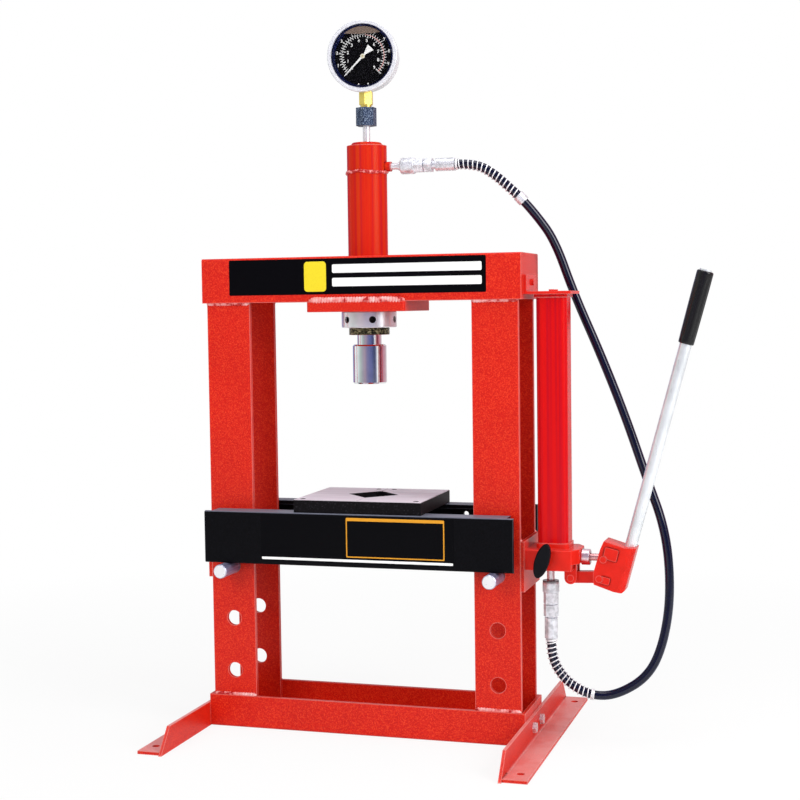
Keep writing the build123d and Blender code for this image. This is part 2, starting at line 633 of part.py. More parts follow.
def pump_parts():
    """Hand pump with its oil reservoir, lever, handle and release valve."""
    column = rounded_column(RESERVOIR_SIDE, 9, RESERVOIR_SPAN_Z)
    column -= rounded_column(RESERVOIR_SIDE - 5, 6.5, RESERVOIR_SPAN_Z)
    cap = rounded_column(46, 3, (RESERVOIR_SPAN_Z[1], BRACKET_SPAN_Z[0]))
    for y in RESERVOIR_SCREW_Y:
        cap -= rod_z(RESERVOIR_SPAN_Z[1], BRACKET_SPAN_Z[0], RESERVOIR_X, y, 2)
    grip = bar(HANDLE, *GRIP_SPAN, GRIP_R)
    grip = fillet(grip.edges(), 2)
    packing = bar(PACKING, PUMP_NOSE_X - 8, PUMP_NOSE_X, 9) + bar(PACKING, PUMP_NOSE_X, 321, 11)
    return {
        "pump_body": pump_body(),
        "pump_reservoir": column,
        "reservoir_gasket": rounded_column(45.5, 6, (PUMP_SPAN_Z[1], RESERVOIR_SPAN_Z[0])),
        "reservoir_cap": cap,
        "reservoir_bracket": reservoir_bracket(),
        "pump_screws": pump_screws(),
        "packing_nut": packing - bar(PACKING, PUMP_NOSE_X - 9, 322, PLUNGER_R + RUNNING_FIT),
        "plunger": plunger(),
        "release_knob": release_knob(),
        "lug_pin": headed_pin(*LUG_PIN, 14),
        "pump_link": pump_link(),
        "lever_pins": Compound(children=[headed_pin(*FULCRUM, 19), headed_pin(*DRIVE_PIN, 19)]),
        "lever_block": lever_block(),
        "handle_tube": bar(HANDLE, -45, GRIP_SPAN[1] + 2, HANDLE_R),
        "handle_grip": grip - bar(HANDLE, GRIP_SPAN[0] - 1, GRIP_SPAN[1] + 1, HANDLE_R),
    }


PACKING = Plane((0, PUMP_Y, PLUNGER_Z), x_dir=(0, 1, 0), z_dir=(1, 0, 0)).location


# ---- bed ----
def bed_channel():
    """Rear bed channel: web on the outer side, flanges cut back a little at both ends."""
    channel = block((-BED_HALF_X, BED_HALF_X), (BED_INNER_Y, BED_OUTER_Y), (BED_BOTTOM_Z, BED_TOP_Z))
    edges = channel.edges().filter_by(Axis.X).group_by(Axis.Y)[-1]
    channel = fillet(edges, 3)
    inside_y = (BED_INNER_Y, BED_OUTER_Y - BED_WALL)
    inside_z = (BED_BOTTOM_Z + BED_WALL, BED_TOP_Z - BED_WALL)
    channel -= block((-BED_HALF_X, BED_HALF_X), inside_y, inside_z)
    flange_end = block((BED_HALF_X - FLANGE_CUT_BACK, BED_HALF_X), inside_y, (BED_BOTTOM_Z, BED_TOP_Z))
    return channel - flange_end - mirrored_x(flange_end)


def rear_bed_channel():
    """Rear channel with two small holes through its web."""
    channel = bed_channel()
    for x in (-121, 121):
        channel -= rod_y(BED_OUTER_Y - BED_WALL - 1, BED_OUTER_Y + 1, x, 305, 4)
    return channel


def cross_ties():
    """Two flat bars that hold the bed channels apart."""
    z_span = (BED_BOTTOM_Z + BED_WALL, BED_BOTTOM_Z + BED_WALL + 8)
    half_y = BED_OUTER_Y - BED_WALL
    return Compound(children=[block((x - 15, x + 15), (-half_y, half_y), z_span) for x in (-130, 130)])


def arbor_plate(side):
    """Thick plate with a V notch and two lifting holes."""
    z_span = (BED_TOP_Z + RUNNING_FIT, BED_TOP_Z + RUNNING_FIT + ARBOR_THICK)
    inner = ARBOR_SPLIT_X + side * ARBOR_GAP / 2
    outer = ARBOR_SPLIT_X + side * ARBOR_HALF_SPAN
    plate = block((min(inner, outer), max(inner, outer)), (-ARBOR_HALF_Y, ARBOR_HALF_Y), z_span)
    plate = chamfer(plate.edges().group_by(Axis.Z)[-1], ARBOR_CHAMFER)
    notch = [
        (ARBOR_SPLIT_X, NOTCH_Y - NOTCH_HALF_Y), (ARBOR_SPLIT_X + side * NOTCH_HALF_X, NOTCH_Y),
        (ARBOR_SPLIT_X, NOTCH_Y + NOTCH_HALF_Y), (ARBOR_SPLIT_X - side * NOTCH_HALF_X, NOTCH_Y),
    ]
    plate -= outline_z(notch, z_span)
    plate -= rod_z(*z_span, ARBOR_SPLIT_X + side * 84, -65, 4)
    plate -= rod_z(*z_span, ARBOR_SPLIT_X + side * 12, 65, 4)
    return plate


def bed_pin(side):
    """Round steel pin through a pair of posts under the bed."""
    pin = rod_y(-PIN_HALF_LENGTH, PIN_HALF_LENGTH, side * POST_X, PIN_Z, PIN_R)
    return chamfer(pin.edges(), 1.2)


def bed_parts():
    """Bed channels, ties, pins and the pair of loose arbor plates."""
    return {
        "bed_rear_channel": rear_bed_channel(),
        "bed_front_channel": mirror(bed_channel(), about=Plane.XZ),
        "bed_cross_ties": cross_ties(),
        "left_bed_pin": bed_pin(-1),
        "right_bed_pin": bed_pin(1),
        "left_arbor_plate": arbor_plate(-1),
        "right_arbor_plate": arbor_plate(1),
    }


# ---- export ----
os.makedirs("parts", exist_ok=True)
groups = (frame_parts, ram_parts, gauge_parts, fitting_parts, hose_parts, pump_parts, bed_parts)
for group in groups:
    for node, shape in group().items():
        export_step(shape, f"parts/{node}.step")
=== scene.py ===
import math

import bpy
import numpy as np
from mathutils import Matrix, Vector


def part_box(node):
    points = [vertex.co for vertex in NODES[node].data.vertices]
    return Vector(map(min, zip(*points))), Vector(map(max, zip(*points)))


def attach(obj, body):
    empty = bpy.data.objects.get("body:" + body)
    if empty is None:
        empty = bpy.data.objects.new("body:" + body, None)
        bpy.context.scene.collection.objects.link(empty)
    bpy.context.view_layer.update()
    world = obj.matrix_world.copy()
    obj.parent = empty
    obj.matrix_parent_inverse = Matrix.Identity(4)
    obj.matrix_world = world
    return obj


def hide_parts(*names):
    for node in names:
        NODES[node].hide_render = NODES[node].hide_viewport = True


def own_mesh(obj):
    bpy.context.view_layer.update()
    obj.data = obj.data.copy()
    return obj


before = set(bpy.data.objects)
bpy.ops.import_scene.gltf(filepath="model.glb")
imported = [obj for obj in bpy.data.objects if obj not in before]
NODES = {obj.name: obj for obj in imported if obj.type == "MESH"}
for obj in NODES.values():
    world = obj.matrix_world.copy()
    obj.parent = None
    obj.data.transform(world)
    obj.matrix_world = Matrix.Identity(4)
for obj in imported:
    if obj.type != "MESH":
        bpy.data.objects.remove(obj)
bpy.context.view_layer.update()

MM = 0.001
AXIS_X = np.array([1.0, 0.0, 0.0])
AXIS_Y = np.array([0.0, 1.0, 0.0])
AXIS_Z = np.array([0.0, 0.0, 1.0])


def middle(node):
    """Centre of a node's box."""
    low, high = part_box(node)
    return (np.array(low) + np.array(high)) / 2


def unit(vectors):
    """Vectors made one long."""
    return vectors / np.linalg.norm(vectors, axis=-1, keepdims=True)


def from_mm(pairs):
    """Pairs of sizes in millimetres as pairs in metres."""
    return [(first * MM, second * MM) for first, second in pairs]


def around(count):
    """Angles evenly spaced round a circle."""
    return np.linspace(0, 2 * np.pi, count, endpoint=False)


def linked(name, data):
    """New object in the scene for a mesh, a curve, a light or a camera."""
    piece = bpy.data.objects.new(name, data)
    bpy.context.collection.objects.link(piece)
    return piece


def read_mesh(shape):
    """Points and faces of a curve or text object, which goes away afterwards."""
    bpy.context.view_layer.update()
    mesh = bpy.data.meshes.new_from_object(shape)
    points = np.array([vertex.co[:] for vertex in mesh.vertices])
    faces = [list(polygon.vertices) for polygon in mesh.polygons]
    bpy.data.objects.remove(shape)
    bpy.data.meshes.remove(mesh)
    return points, faces


# ---------------------------------------------------------------- camera

CAMERA_PLACE = (0.6954, -2.1271, 0.6132)
CAMERA_TURN = math.radians(17.01)
CAMERA_DOWN = math.radians(3.49)
CAMERA_ROLL = math.radians(-0.77)
CAMERA_LENS = 69.86


def place_camera():
    """Camera a little right of the press and above half its height."""
    data = bpy.data.cameras.new("camera")
    data.lens = CAMERA_LENS
    data.sensor_width = 36
    data.clip_end = 50
    camera = linked("camera", data)
    turn = Matrix.Rotation(CAMERA_TURN, 4, "Z")
    tilt = Matrix.Rotation(math.pi / 2 - CAMERA_DOWN, 4, "X")
    roll = Matrix.Rotation(CAMERA_ROLL, 4, "Z")
    camera.matrix_world = Matrix.Translation(CAMERA_PLACE) @ turn @ tilt @ roll
    bpy.context.scene.camera = camera


# ---------------------------------------------------------------- surfaces

WIRE_SIDES = 8
CORNER_STEPS = 8


def enclosed(points, faces):
    """Six times the volume inside a closed surface, by triangle fans: the sum of a . (b x c)."""
    total = 0.0
    for size in {len(face) for face in faces}:
        fans = points[np.array([list(face) for face in faces if len(face) == size])]
        for step in range(1, size - 1):
            total += np.einsum("ij,ij->", fans[:, 0], np.cross(fans[:, step], fans[:, step + 1]))
    return total


def finish_mesh(name, points, faces, material, body, sharp_deg=35, solid=True):
    """Mesh object, smooth but for sharp edges; a solid's faces are turned to look outward."""
    points = np.asarray(points, float)
    if solid and enclosed(points, faces) < 0:
        faces = [list(face)[::-1] for face in faces]
    mesh = bpy.data.meshes.new(name)
    mesh.from_pydata(points.tolist(), [], faces)
    mesh.validate()
    mesh.update()
    mesh.shade_smooth()
    mesh.set_sharp_from_angle(angle=math.radians(sharp_deg))
    mesh.materials.append(material)
    piece = linked(name, mesh)
    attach(piece, body)
    return piece


def grid_faces(rows, columns, wrap_rows=False, wrap_columns=True):
    """Four-sided faces between neighbouring points of a grid stored row by row."""
    row = np.arange(rows if wrap_rows else rows - 1)
    column = np.arange(columns if wrap_columns else columns - 1)
    row, column = np.meshgrid(row, column, indexing="ij")
    below, right = (row + 1) % rows, (column + 1) % columns
    this_row, next_row = row * columns, below * columns
    corners = [this_row + column, this_row + right, next_row + right, next_row + column]
    return np.stack(corners, axis=-1).reshape(-1, 4)


def tube_faces(rings, sides, closed=False):
    """Faces of a tube stored ring by ring, with flat ends unless its last ring meets its first."""
    faces = grid_faces(rings, sides, wrap_rows=closed)[:, ::-1].tolist()
    if not closed:
        last = (rings - 1) * sides
        faces.append(list(range(sides)))
        faces.append(list(range(last + sides - 1, last - 1, -1)))
    return faces


def across(direction):
    """Two unit vectors that make a right-handed set with a direction."""
    helper = AXIS_Z if abs(direction[2]) < 0.9 else AXIS_X
    first = unit(np.cross(helper, direction))
    return first, np.cross(direction, first)


def turned_points(profile, origin, direction, segments, ripple=None):
    """Points at station s and radius r, carried round the axis by the angle a.

    Point = origin + s * direction + r * ripple(s, a) * (cos a * first + sin a * second).
    """
    direction = np.array(direction, float)
    first, second = across(direction)
    angle = around(segments)
    station, radius = np.array(profile, float).T[..., None]
    radius = radius * np.ones_like(angle)
    if ripple is not None:
        radius = radius * ripple(station, angle[None, :])
    ring = np.cos(angle)[:, None] * first + np.sin(angle)[:, None] * second
    return np.array(origin) + station[..., None] * direction + radius[..., None] * ring


def turned(
    name, profile, origin, direction, material, body, segments=96, ripple=None, closed=False, sharp_deg=35,
):
    """Lathe-turned piece: a profile of (station, radius) pairs carried round an axis.

    A closed profile makes a ring; an open one has a flat face at each end.
    """
    points = turned_points(profile, origin, direction, segments, ripple)
    faces = tube_faces(len(points), segments, closed)
    return finish_mesh(name, points.reshape(-1, 3), faces, material, body, sharp_deg)


def wire_tube(name, wire, radius, material):
    """Round wire along a winding line, its section turned by the line's own bend.

    Point = wire(t) + r * (cos a * bend(t) + sin a * side(t)).
    """
    tangents = unit(np.gradient(wire, axis=0))
    bend = np.gradient(tangents, axis=0)
    bend -= np.sum(bend * tangents, axis=1, keepdims=True) * tangents
    bend /= np.maximum(np.linalg.norm(bend, axis=1, keepdims=True), 1e-9)
    side = np.cross(tangents, bend)
    angle = around(WIRE_SIDES)[None, :, None]
    points = wire[:, None] + radius * (np.cos(angle) * bend[:, None] + np.sin(angle) * side[:, None])
    return finish_mesh(name, points.reshape(-1, 3), tube_faces(len(wire), WIRE_SIDES), material, "frame")


def rounded_outline(width, height, corner):
    """Corner arcs of a rounded rectangle, counter-clockwise, centred on zero."""
    angle = np.linspace(0, np.pi / 2, CORNER_STEPS)
    arcs = []
    for quarter, (sx, sy) in enumerate(((1, 1), (-1, 1), (-1, -1), (1, -1))):
        turn = angle + quarter * np.pi / 2
        centre = np.array([sx * (width / 2 - corner), sy * (height / 2 - corner)])
        arcs.append(centre + corner * np.stack([np.cos(turn), np.sin(turn)], axis=1))
    return np.concatenate(arcs)


def slab(name, back, front, material, body):
    """Thin flat plate between two copies of an outline."""
    faces = tube_faces(2, len(back))
    piece = finish_mesh(name, np.concatenate([back, front]), faces, material, body, sharp_deg=20)
    return piece


# ---------------------------------------------------------------- materials

CORNER_REACH = 3 * MM
EDGE_REACH = 1.6 * MM
# pale pink painted along the outer edges of red paint as a highlight
EDGE_HIGHLIGHT_PINK = (0.90, 0.48, 0.44)
RED = (0.67, 0.013, 0.005)
GLOSS_RED = (0.64, 0.004, 0.005)
TUBE_RED = (0.60, 0.018, 0.008)


def shader(name, colour, roughness, metallic=0.0, coat=0.0, specular=0.5, coat_roughness=0.05):
    """Plain base of a material: its tree, its shader node and its object coordinates."""
    material = bpy.data.materials.new(name)
    material.use_nodes = True
    tree = material.node_tree
    base = tree.nodes["Principled BSDF"]
    levels = {
        "Base Color": (*colour, 1), "Roughness": roughness, "Metallic": metallic, "Coat Weight": coat,
        "Coat Roughness": coat_roughness, "Specular IOR Level": specular,
    }
    for socket, level in levels.items():
        base.inputs[socket].default_value = level
    place = tree.nodes.new("ShaderNodeTexCoord")
    return material, tree, base, place.outputs["Object"]


def noise(tree, coordinates, scale, detail=2.0, roughness=0.5, stretch=(1, 1, 1)):
    """Noise pattern with a number of grains a metre, stretched along the axes."""
    mapping = tree.nodes.new("ShaderNodeMapping")
    mapping.inputs["Scale"].default_value = stretch
    tree.links.new(coordinates, mapping.inputs["Vector"])
    pattern = tree.nodes.new("ShaderNodeTexNoise")
    pattern.inputs["Scale"].default_value = scale
    pattern.inputs["Detail"].default_value = detail
    pattern.inputs["Roughness"].default_value = roughness
    tree.links.new(mapping.outputs["Vector"], pattern.inputs["Vector"])
    return pattern.outputs["Fac"]


def ramp(tree, value, stops):
    """Colour ramp over a value; stops are (position, colour) pairs."""
    node = tree.nodes.new("ShaderNodeValToRGB")
    band = node.color_ramp
    band.elements.remove(band.elements[1])
    band.elements[0].position = stops[0][0]
    band.elements[0].color = (*stops[0][1], 1)
    for position, colour in stops[1:]:
        band.elements.new(position).color = (*colour, 1)
    tree.links.new(value, node.inputs["Fac"])
    return node.outputs["Color"]


def bump(tree, base, height, strength, distance):
    """Bump from a height value, added after any bump that is already there."""
    node = tree.nodes.new("ShaderNodeBump")
    node.inputs["Strength"].default_value = strength
    node.inputs["Distance"].default_value = distance
    tree.links.new(height, node.inputs["Height"])
    before = base.inputs["Normal"].links
    if before:
        tree.links.new(before[0].from_socket, node.inputs["Normal"])
    tree.links.new(node.outputs["Normal"], base.inputs["Normal"])


def tone(colour, factor):
    """A colour made lighter or darker."""
    return tuple(min(1.0, channel * factor) for channel in colour)


def spread(tree, value, low, high, start=0.0, end=1.0):
    """A value that goes from start to end, mapped to the range from low to high and kept in it."""
    node = tree.nodes.new("ShaderNodeMapRange")
    node.inputs["From Min"].default_value = start
    node.inputs["From Max"].default_value = end
    node.inputs["To Min"].default_value = low
    node.inputs["To Max"].default_value = high
    tree.links.new(value, node.inputs["Value"])
    return node.outputs["Result"]


def worked(tree, operation, first, second):
    """What an operation makes of two values."""
    node = tree.nodes.new("ShaderNodeMath")
    node.operation = operation
    tree.links.new(first, node.inputs[0])
    tree.links.new(second, node.inputs[1])
    return node.outputs[0]


def mixed(tree, share, first, second, kind="RGBA", blend="MIX"):
    """First and second colour or value, mixed by a share; each is written out or comes from a node."""
    node = tree.nodes.new("ShaderNodeMix")
    node.data_type = kind
    node.blend_type = blend
    for name, value in (("Factor", share), ("A", first), ("B", second)):
        if isinstance(value, bpy.types.NodeSocket):
            tree.links.new(value, node.inputs[name])
        else:
            node.inputs[name].default_value = (*value, 1) if isinstance(value, tuple) else value
    return node.outputs["Result"]


def paint_over(tree, base, share, colour, blend="MIX"):
    """Mixes a colour over the colour so far, by a share."""
    before = base.inputs["Base Color"].links[0].from_socket
    tree.links.new(mixed(tree, share, before, colour, blend=blend), base.inputs["Base Color"])


def part_of(tree, vector, axis):
    """One part, X, Y or Z, of a vector."""
    split = tree.nodes.new("ShaderNodeSeparateXYZ")
    tree.links.new(vector, split.inputs["Vector"])
    return split.outputs[axis]


def aspect(tree, axis):
    """How far the surface looks along an axis, from one to minus one."""
    return part_of(tree, tree.nodes.new("ShaderNodeNewGeometry").outputs["Normal"], axis)


def openness(tree, reach, inside):
    """How open the surface is within a reach of it, outside the piece or inside it."""
    node = tree.nodes.new("ShaderNodeAmbientOcclusion")
    node.samples = 6
    node.inside = inside
    node.only_local = True
    node.inputs["Distance"].default_value = reach
    return node.outputs["AO"]


def facing(tree, axis, low, high):
    """Zero to one as the surface turns from one level of an axis of its normal to another."""
    return spread(tree, aspect(tree, axis), 0.0, 1.0, low, high)


def tint_where(tree, base, share, colour, most):
    """Mixes a colour over the colour so far, up to a share of it, where a value is one."""
    paint_over(tree, base, spread(tree, share, 0.0, most), colour)


def edge_wear(tree, base, pale, edge_shading_share, corner_shade):
    """Edge colour laid along outer edges and painted shade darkening inner corners, over the colour so far.
    """
    # painted shade: the colour darkens in inner corners, by ambient occlusion
    corner = spread(tree, openness(tree, CORNER_REACH, False), corner_shade, 1.0, 0.45, 0.95)
    paint_over(tree, base, 1.0, corner, "MULTIPLY")
    # painted edge light: the edge colour, a highlight on paints and a dark edge on the bezel, follows outer
    # edges
    edge = spread(tree, openness(tree, EDGE_REACH, True), edge_shading_share, 0.0, 0.5, 0.85)
    paint_over(tree, base, edge, pale)


def patterned(name, colour, roughness, pattern, stops, gloss=None, relief=None, **look):
    """Material whose colour, shine and relief follow one noise pattern."""
    material, tree, base, place = shader(name, colour, roughness, **look)
    grain = noise(tree, place, *pattern)
    tree.links.new(ramp(tree, grain, stops), base.inputs["Base Color"])
    if gloss:
        tree.links.new(spread(tree, grain, *gloss), base.inputs["Roughness"])
    if relief:
        bump(tree, base, grain, *relief)
    return material, tree, base, place


def powder_paint(name, top_sheen=0.0):
    """Orange-red powder coat: orange peel, lighter grains, faint mottling, a painted pale sheen in patches on
    top faces, painted edge highlights and painted corner shade.
    """
    stops = [(0.34, (0.56, 0.008, 0.004)), (0.5, RED), (0.66, (0.78, 0.048, 0.014))]
    material, tree, base, place = patterned(
        name, RED, 0.38, (640, 2.0, 0.6), stops, (0.28, 0.46), (0.3, 0.0006),
        coat=0.05, specular=0.2, coat_roughness=0.25,
    )
    cloud = ramp(tree, noise(tree, place, 14, 2.0), [(0.3, (0.93, 0.9, 0.9)), (0.7, (1, 1, 1))])
    paint_over(tree, base, 1.0, cloud, "MULTIPLY")
    if top_sheen:
        # painted sheen: faces looking up turn paler in patches, as if catching the light
        patches = spread(tree, noise(tree, place, 30, 3.0, 0.6), 0.2, 1.6)
        sheen_share = worked(tree, "MULTIPLY", facing(tree, "Z", 0.6, 0.95), patches)
        tint_where(tree, base, sheen_share, (0.86, 0.50, 0.48), top_sheen)
    edge_wear(tree, base, EDGE_HIGHLIGHT_PINK, 0.42, 0.5)
    return material


def enamel(name, colour, drawn=False, edge_shading_share=0.5, corner_shade=0.25, shine=1.0):
    """Glossy enamel with a slight waviness, painted highlights along edges and painted shade in corners; a
    drawn tube has faint lines and streaks along its length, crimson for painted shade and orange for painted
    light.
    """
    stops = [(0.3, tone(colour, 0.9)), (0.7, tone(colour, 1.06))]
    material, tree, base, place = patterned(
        name, colour, 0.32, (60, 2.0), stops, (0.18, 0.3),
        coat=0.04 * shine, specular=0.1 * shine, coat_roughness=0.1,
    )
    if drawn:
        bump(tree, base, noise(tree, place, 420, 1.0, stretch=(1, 1, 0.012)), 0.25, 0.0004)
        # painted light and shade: crimson streaks stand in for shaded bands, orange ones for lit bands
        crimson = (colour[0] * 0.8, colour[1] * 0.8, colour[2] * 2.2)
        orange = (colour[0], colour[1] * 2, colour[2])
        streaks = noise(tree, place, 150, 2.0, stretch=(1, 1, 0.006))
        streaked = ramp(tree, streaks, [(0.36, crimson), (0.48, colour), (0.62, orange)])
        tree.links.new(streaked, base.inputs["Base Color"])
    bump(tree, base, noise(tree, place, 260, 2.0), 0.12, 0.0006)
    # painted highlight along outer edges and painted shade in inner corners
    edge_wear(tree, base, EDGE_HIGHLIGHT_PINK, edge_shading_share, corner_shade)
    return material


def black_enamel():
    """Satin black paint with a fine sand texture, a painted blue-grey sheen on top faces, painted pale edges
    and painted shade in corners.
    """
    stops = [(0.35, (0.001, 0.001, 0.0015)), (0.7, (0.004, 0.004, 0.006))]
    material, tree, base, _ = patterned(
        "black_enamel", (0.002, 0.002, 0.003), 0.36, (700, 2.0, 0.6), stops, (0.28, 0.46), (0.3, 0.0005),
        specular=0.07,
    )
    # painted sheen: faces looking up turn blue-grey, as if lit from above
    tint_where(tree, base, facing(tree, "Z", 0.5, 0.9), (0.30, 0.32, 0.42), 0.55)
    # painted highlight: pale blue-grey along outer edges; painted shade in inner corners
    edge_wear(tree, base, (0.40, 0.43, 0.55), 0.12, 0.6)
    return material


def metal(
    name, colour, roughness, grain_scale=300.0, stretch=(1, 1, 1), strength=0.08, metallic=1.0,
    cloud_scale=35, dull=0.9,
):
    """Metal with faint machining marks and polish in patches, the dullest a share of the colour."""
    material, tree, base, place = shader(name, colour, roughness, metallic=metallic)
    marks = noise(tree, place, grain_scale, 2.0, 0.6, stretch)
    cloud = noise(tree, place, cloud_scale, 2.0)
    polish = ramp(tree, cloud, [(0.36, tone(colour, dull)), (0.6, tone(colour, 1.05))])
    tree.links.new(polish, base.inputs["Base Color"])
    tree.links.new(spread(tree, marks, roughness * 0.7, roughness * 1.4), base.inputs["Roughness"])
    bump(tree, base, marks, strength, 0.0003)
    return material


def worn_thread():
    """Oiled black thread with brassy worn patches."""
    stops = [(0.42, (0.006, 0.006, 0.006)), (0.52, (0.10, 0.085, 0.035)), (0.66, (0.42, 0.36, 0.22))]
    return patterned(
        "thread_steel", (0.1, 0.08, 0.04), 0.4, (260, 3.0, 0.7, (1, 1, 1.6)), stops,
        (0.3, 0.55), (0.3, 0.0006), metallic=0.5, specular=0.3,
    )[0]


FLANGE_BAND = (8.2 * MM, 11.6 * MM)
BAND_FADE = 0.4 * MM


def nipple_plate():
    """Bright plating with a dark band round the flange of the outlet nipple, set by height."""
    bright, dark = (0.82, 0.82, 0.86), (0.035, 0.01, 0.015)
    material, tree, base, place = shader("nipple_plate", bright, 0.28, metallic=0.45)
    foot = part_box("coupler_nipples")[0][2]
    low, high = (foot + rise for rise in FLANGE_BAND)
    edges = [(low, bright), (low + BAND_FADE, dark), (high, dark), (high + BAND_FADE, bright)]
    tree.links.new(ramp(tree, part_of(tree, place, "Z"), edges), base.inputs["Base Color"])
    marks = noise(tree, place, 300, 2.0)
    tree.links.new(spread(tree, marks, 0.22, 0.36), base.inputs["Roughness"])
    bump(tree, base, marks, 0.05, 0.0003)
    return material


def pin_steel():
    """Bed pin: dark blue-violet turned shaft whose ends, where they face the front, carry a painted
    near-white highlight.
    """
    stops = [(0.3, (0.16, 0.15, 0.30)), (0.7, (0.42, 0.40, 0.56))]
    material, tree, base, _ = patterned(
        "pin_steel", (0.5, 0.5, 0.6), 0.3, (320, 2.0, 0.5, (1, 0.05, 1)), stops, (0.22, 0.4), (0.05, 0.0003),
        metallic=0.5,
    )
    # painted highlight: faces looking to the front are whitened
    tint_where(tree, base, facing(tree, "Y", -0.6, -0.9), (0.86, 0.87, 0.90), 1.0)
    return material


def bezel_nickel():
    """Pale satin nickel with painted dark grey shade along its edges and in its inner corners."""
    colour = (0.82, 0.83, 0.86)
    stops = [(0.3, tone(colour, 0.94)), (0.7, tone(colour, 1.03))]
    material, tree, base, _ = patterned(
        "bezel_nickel", colour, 0.22, (220, 2.0), stops, (0.16, 0.3), (0.03, 0.0003), metallic=0.3,
    )
    # painted shade: dark grey along outer edges and darker inner corners
    edge_wear(tree, base, (0.22, 0.23, 0.30), 0.8, 0.3)
    return material


def blued_steel():
    """Dark blued nut whose speckled skin shows pale and blue grains."""
    stops = [(0.42, (0.006, 0.012, 0.035)), (0.52, (0.025, 0.05, 0.12)), (0.62, (0.26, 0.32, 0.42))]
    return patterned(
        "dark_steel", (0.05, 0.07, 0.12), 0.45, (700, 2.0, 0.7), stops, (0.35, 0.6), (0.3, 0.0005),
        metallic=0.3, specular=0.3,
    )[0]


def weld_enamel(name, highlight_from, patch_scale=95):
    """Paint on a weld bead, with a painted highlight in pale patches above a level of the pattern and painted
    shade in dark patches below it.
    """
    # painted shade in the dark stop, painted highlight in the pale stop
    dark, pink, pale = (0.45, 0.01, 0.01), (0.82, 0.24, 0.23), (0.88, 0.48, 0.47)
    stops = [(highlight_from - 0.08, dark), (highlight_from, pink), (highlight_from + 0.22, pale)]
    material, tree, base, place = patterned(
        name, (0.80, 0.22, 0.20), 0.25, (patch_scale, 2.0, 0.5), stops, (0.2, 0.4), coat=0.3, specular=0.4,
    )
    bump(tree, base, noise(tree, place, 420, 2.0), 0.3, 0.0008)
    return material


def black_rubber():
    """Smooth glossy hose cover with a faint cloth imprint."""
    stops = [(0.3, (0.0015, 0.002, 0.010)), (0.7, (0.004, 0.006, 0.024))]
    material, _, base, _ = patterned(
        "black_rubber", (0.001, 0.0015, 0.004), 0.3, (900, 2.0, 0.5), stops, (0.24, 0.38), (0.12, 0.0004),
        coat=0.8, specular=0.05, coat_roughness=0.12,
    )
    base.inputs["Coat Tint"].default_value = (0.35, 0.5, 1.0, 1)
    return material


def moulded(name, colour, roughness, coat=0.2, specular=0.3):
    """Moulded plastic or rubber with a very fine texture."""
    stops = [(0.3, tone(colour, 0.8)), (0.7, tone(colour, 1.2))]
    return patterned(
        name, colour, roughness, (1100, 1.0), stops, (roughness * 0.8, roughness * 1.2), (0.08, 0.0003),
        coat=coat, specular=specular, coat_roughness=0.12,
    )[0]


def printed(name, colour):
    """Flat printed ink with a trace of unevenness."""
    stops = [(0.3, tone(colour, 0.95)), (0.7, tone(colour, 1.03))]
    return patterned(name, colour, 0.5, (800, 1.0), stops, specular=0.06)[0]


def ground_steel():
    """Lilac-grey ground plate with dark speckled sides."""
    speckle = [(0.45, (0.002, 0.0015, 0.002)), (0.6, (0.005, 0.004, 0.006)), (0.76, (0.06, 0.055, 0.065))]
    material, tree, base, place = patterned(
        "ground_steel", (0.36, 0.335, 0.37), 0.5, (420, 3.0, 0.65), speckle, (0.38, 0.6), (0.25, 0.0005),
        specular=0.12,
    )
    streak = noise(tree, place, 240, 2.0, 0.5, (0.06, 1, 1))
    top = ramp(tree, streak, [(0.3, (0.64, 0.56, 0.64)), (0.7, (0.80, 0.73, 0.81))])
    paint_over(tree, base, aspect(tree, "Z"), top)
    return material


def half_painted():
    """Plated metal on faces that look up, red paint on faces that look down, with an uneven line between."""
    material, tree, base, place = shader("half_painted_nut", (0.8, 0.7, 0.72), 0.3)
    wear = noise(tree, place, 300, 2.0)
    edge = worked(tree, "ADD", aspect(tree, "Z"), spread(tree, wear, -0.2, 0.2))
    plated = spread(tree, edge, 0.0, 1.0, -0.35, -0.15)
    colour = ramp(tree, plated, [(0.0, GLOSS_RED), (1.0, (0.83, 0.70, 0.74))])
    tree.links.new(colour, base.inputs["Base Color"])
    tree.links.new(spread(tree, plated, 0.0, 0.9), base.inputs["Metallic"])
    bump(tree, base, wear, 0.1, 0.0004)
    return material


def shader_mix(name, share, *kinds):
    """Material that mixes two kinds of shader by a share, which a function makes in its tree."""
    material = bpy.data.materials.new(name)
    material.use_nodes = True
    tree = material.node_tree
    tree.nodes.remove(tree.nodes["Principled BSDF"])
    mix = tree.nodes.new("ShaderNodeMixShader")
    tree.links.new(share(tree), mix.inputs["Fac"])
    shaders = [tree.nodes.new(kind) for kind in kinds]
    for node, socket in zip(shaders, mix.inputs[1:]):
        tree.links.new(node.outputs[0], socket)
    tree.links.new(mix.outputs["Shader"], tree.nodes["Material Output"].inputs["Surface"])
    return material, *shaders


def clear_glass():
    """Thin clear window: see-through, with a mirror film that grows at the rim."""
    def rim(tree):
        edge = tree.nodes.new("ShaderNodeFresnel")
        edge.inputs["IOR"].default_value = 1.12
        return edge.outputs["Fac"]
    material, _, gloss = shader_mix("clear_glass", rim, "ShaderNodeBsdfTransparent", "ShaderNodeBsdfGlossy")
    gloss.inputs["Roughness"].default_value = 0.02
    return material


POWDER = powder_paint("powder_paint")
FOOT_POWDER = powder_paint("top_sheen_powder_paint", 0.5)
NUT_HALF_PAINTED = half_painted()
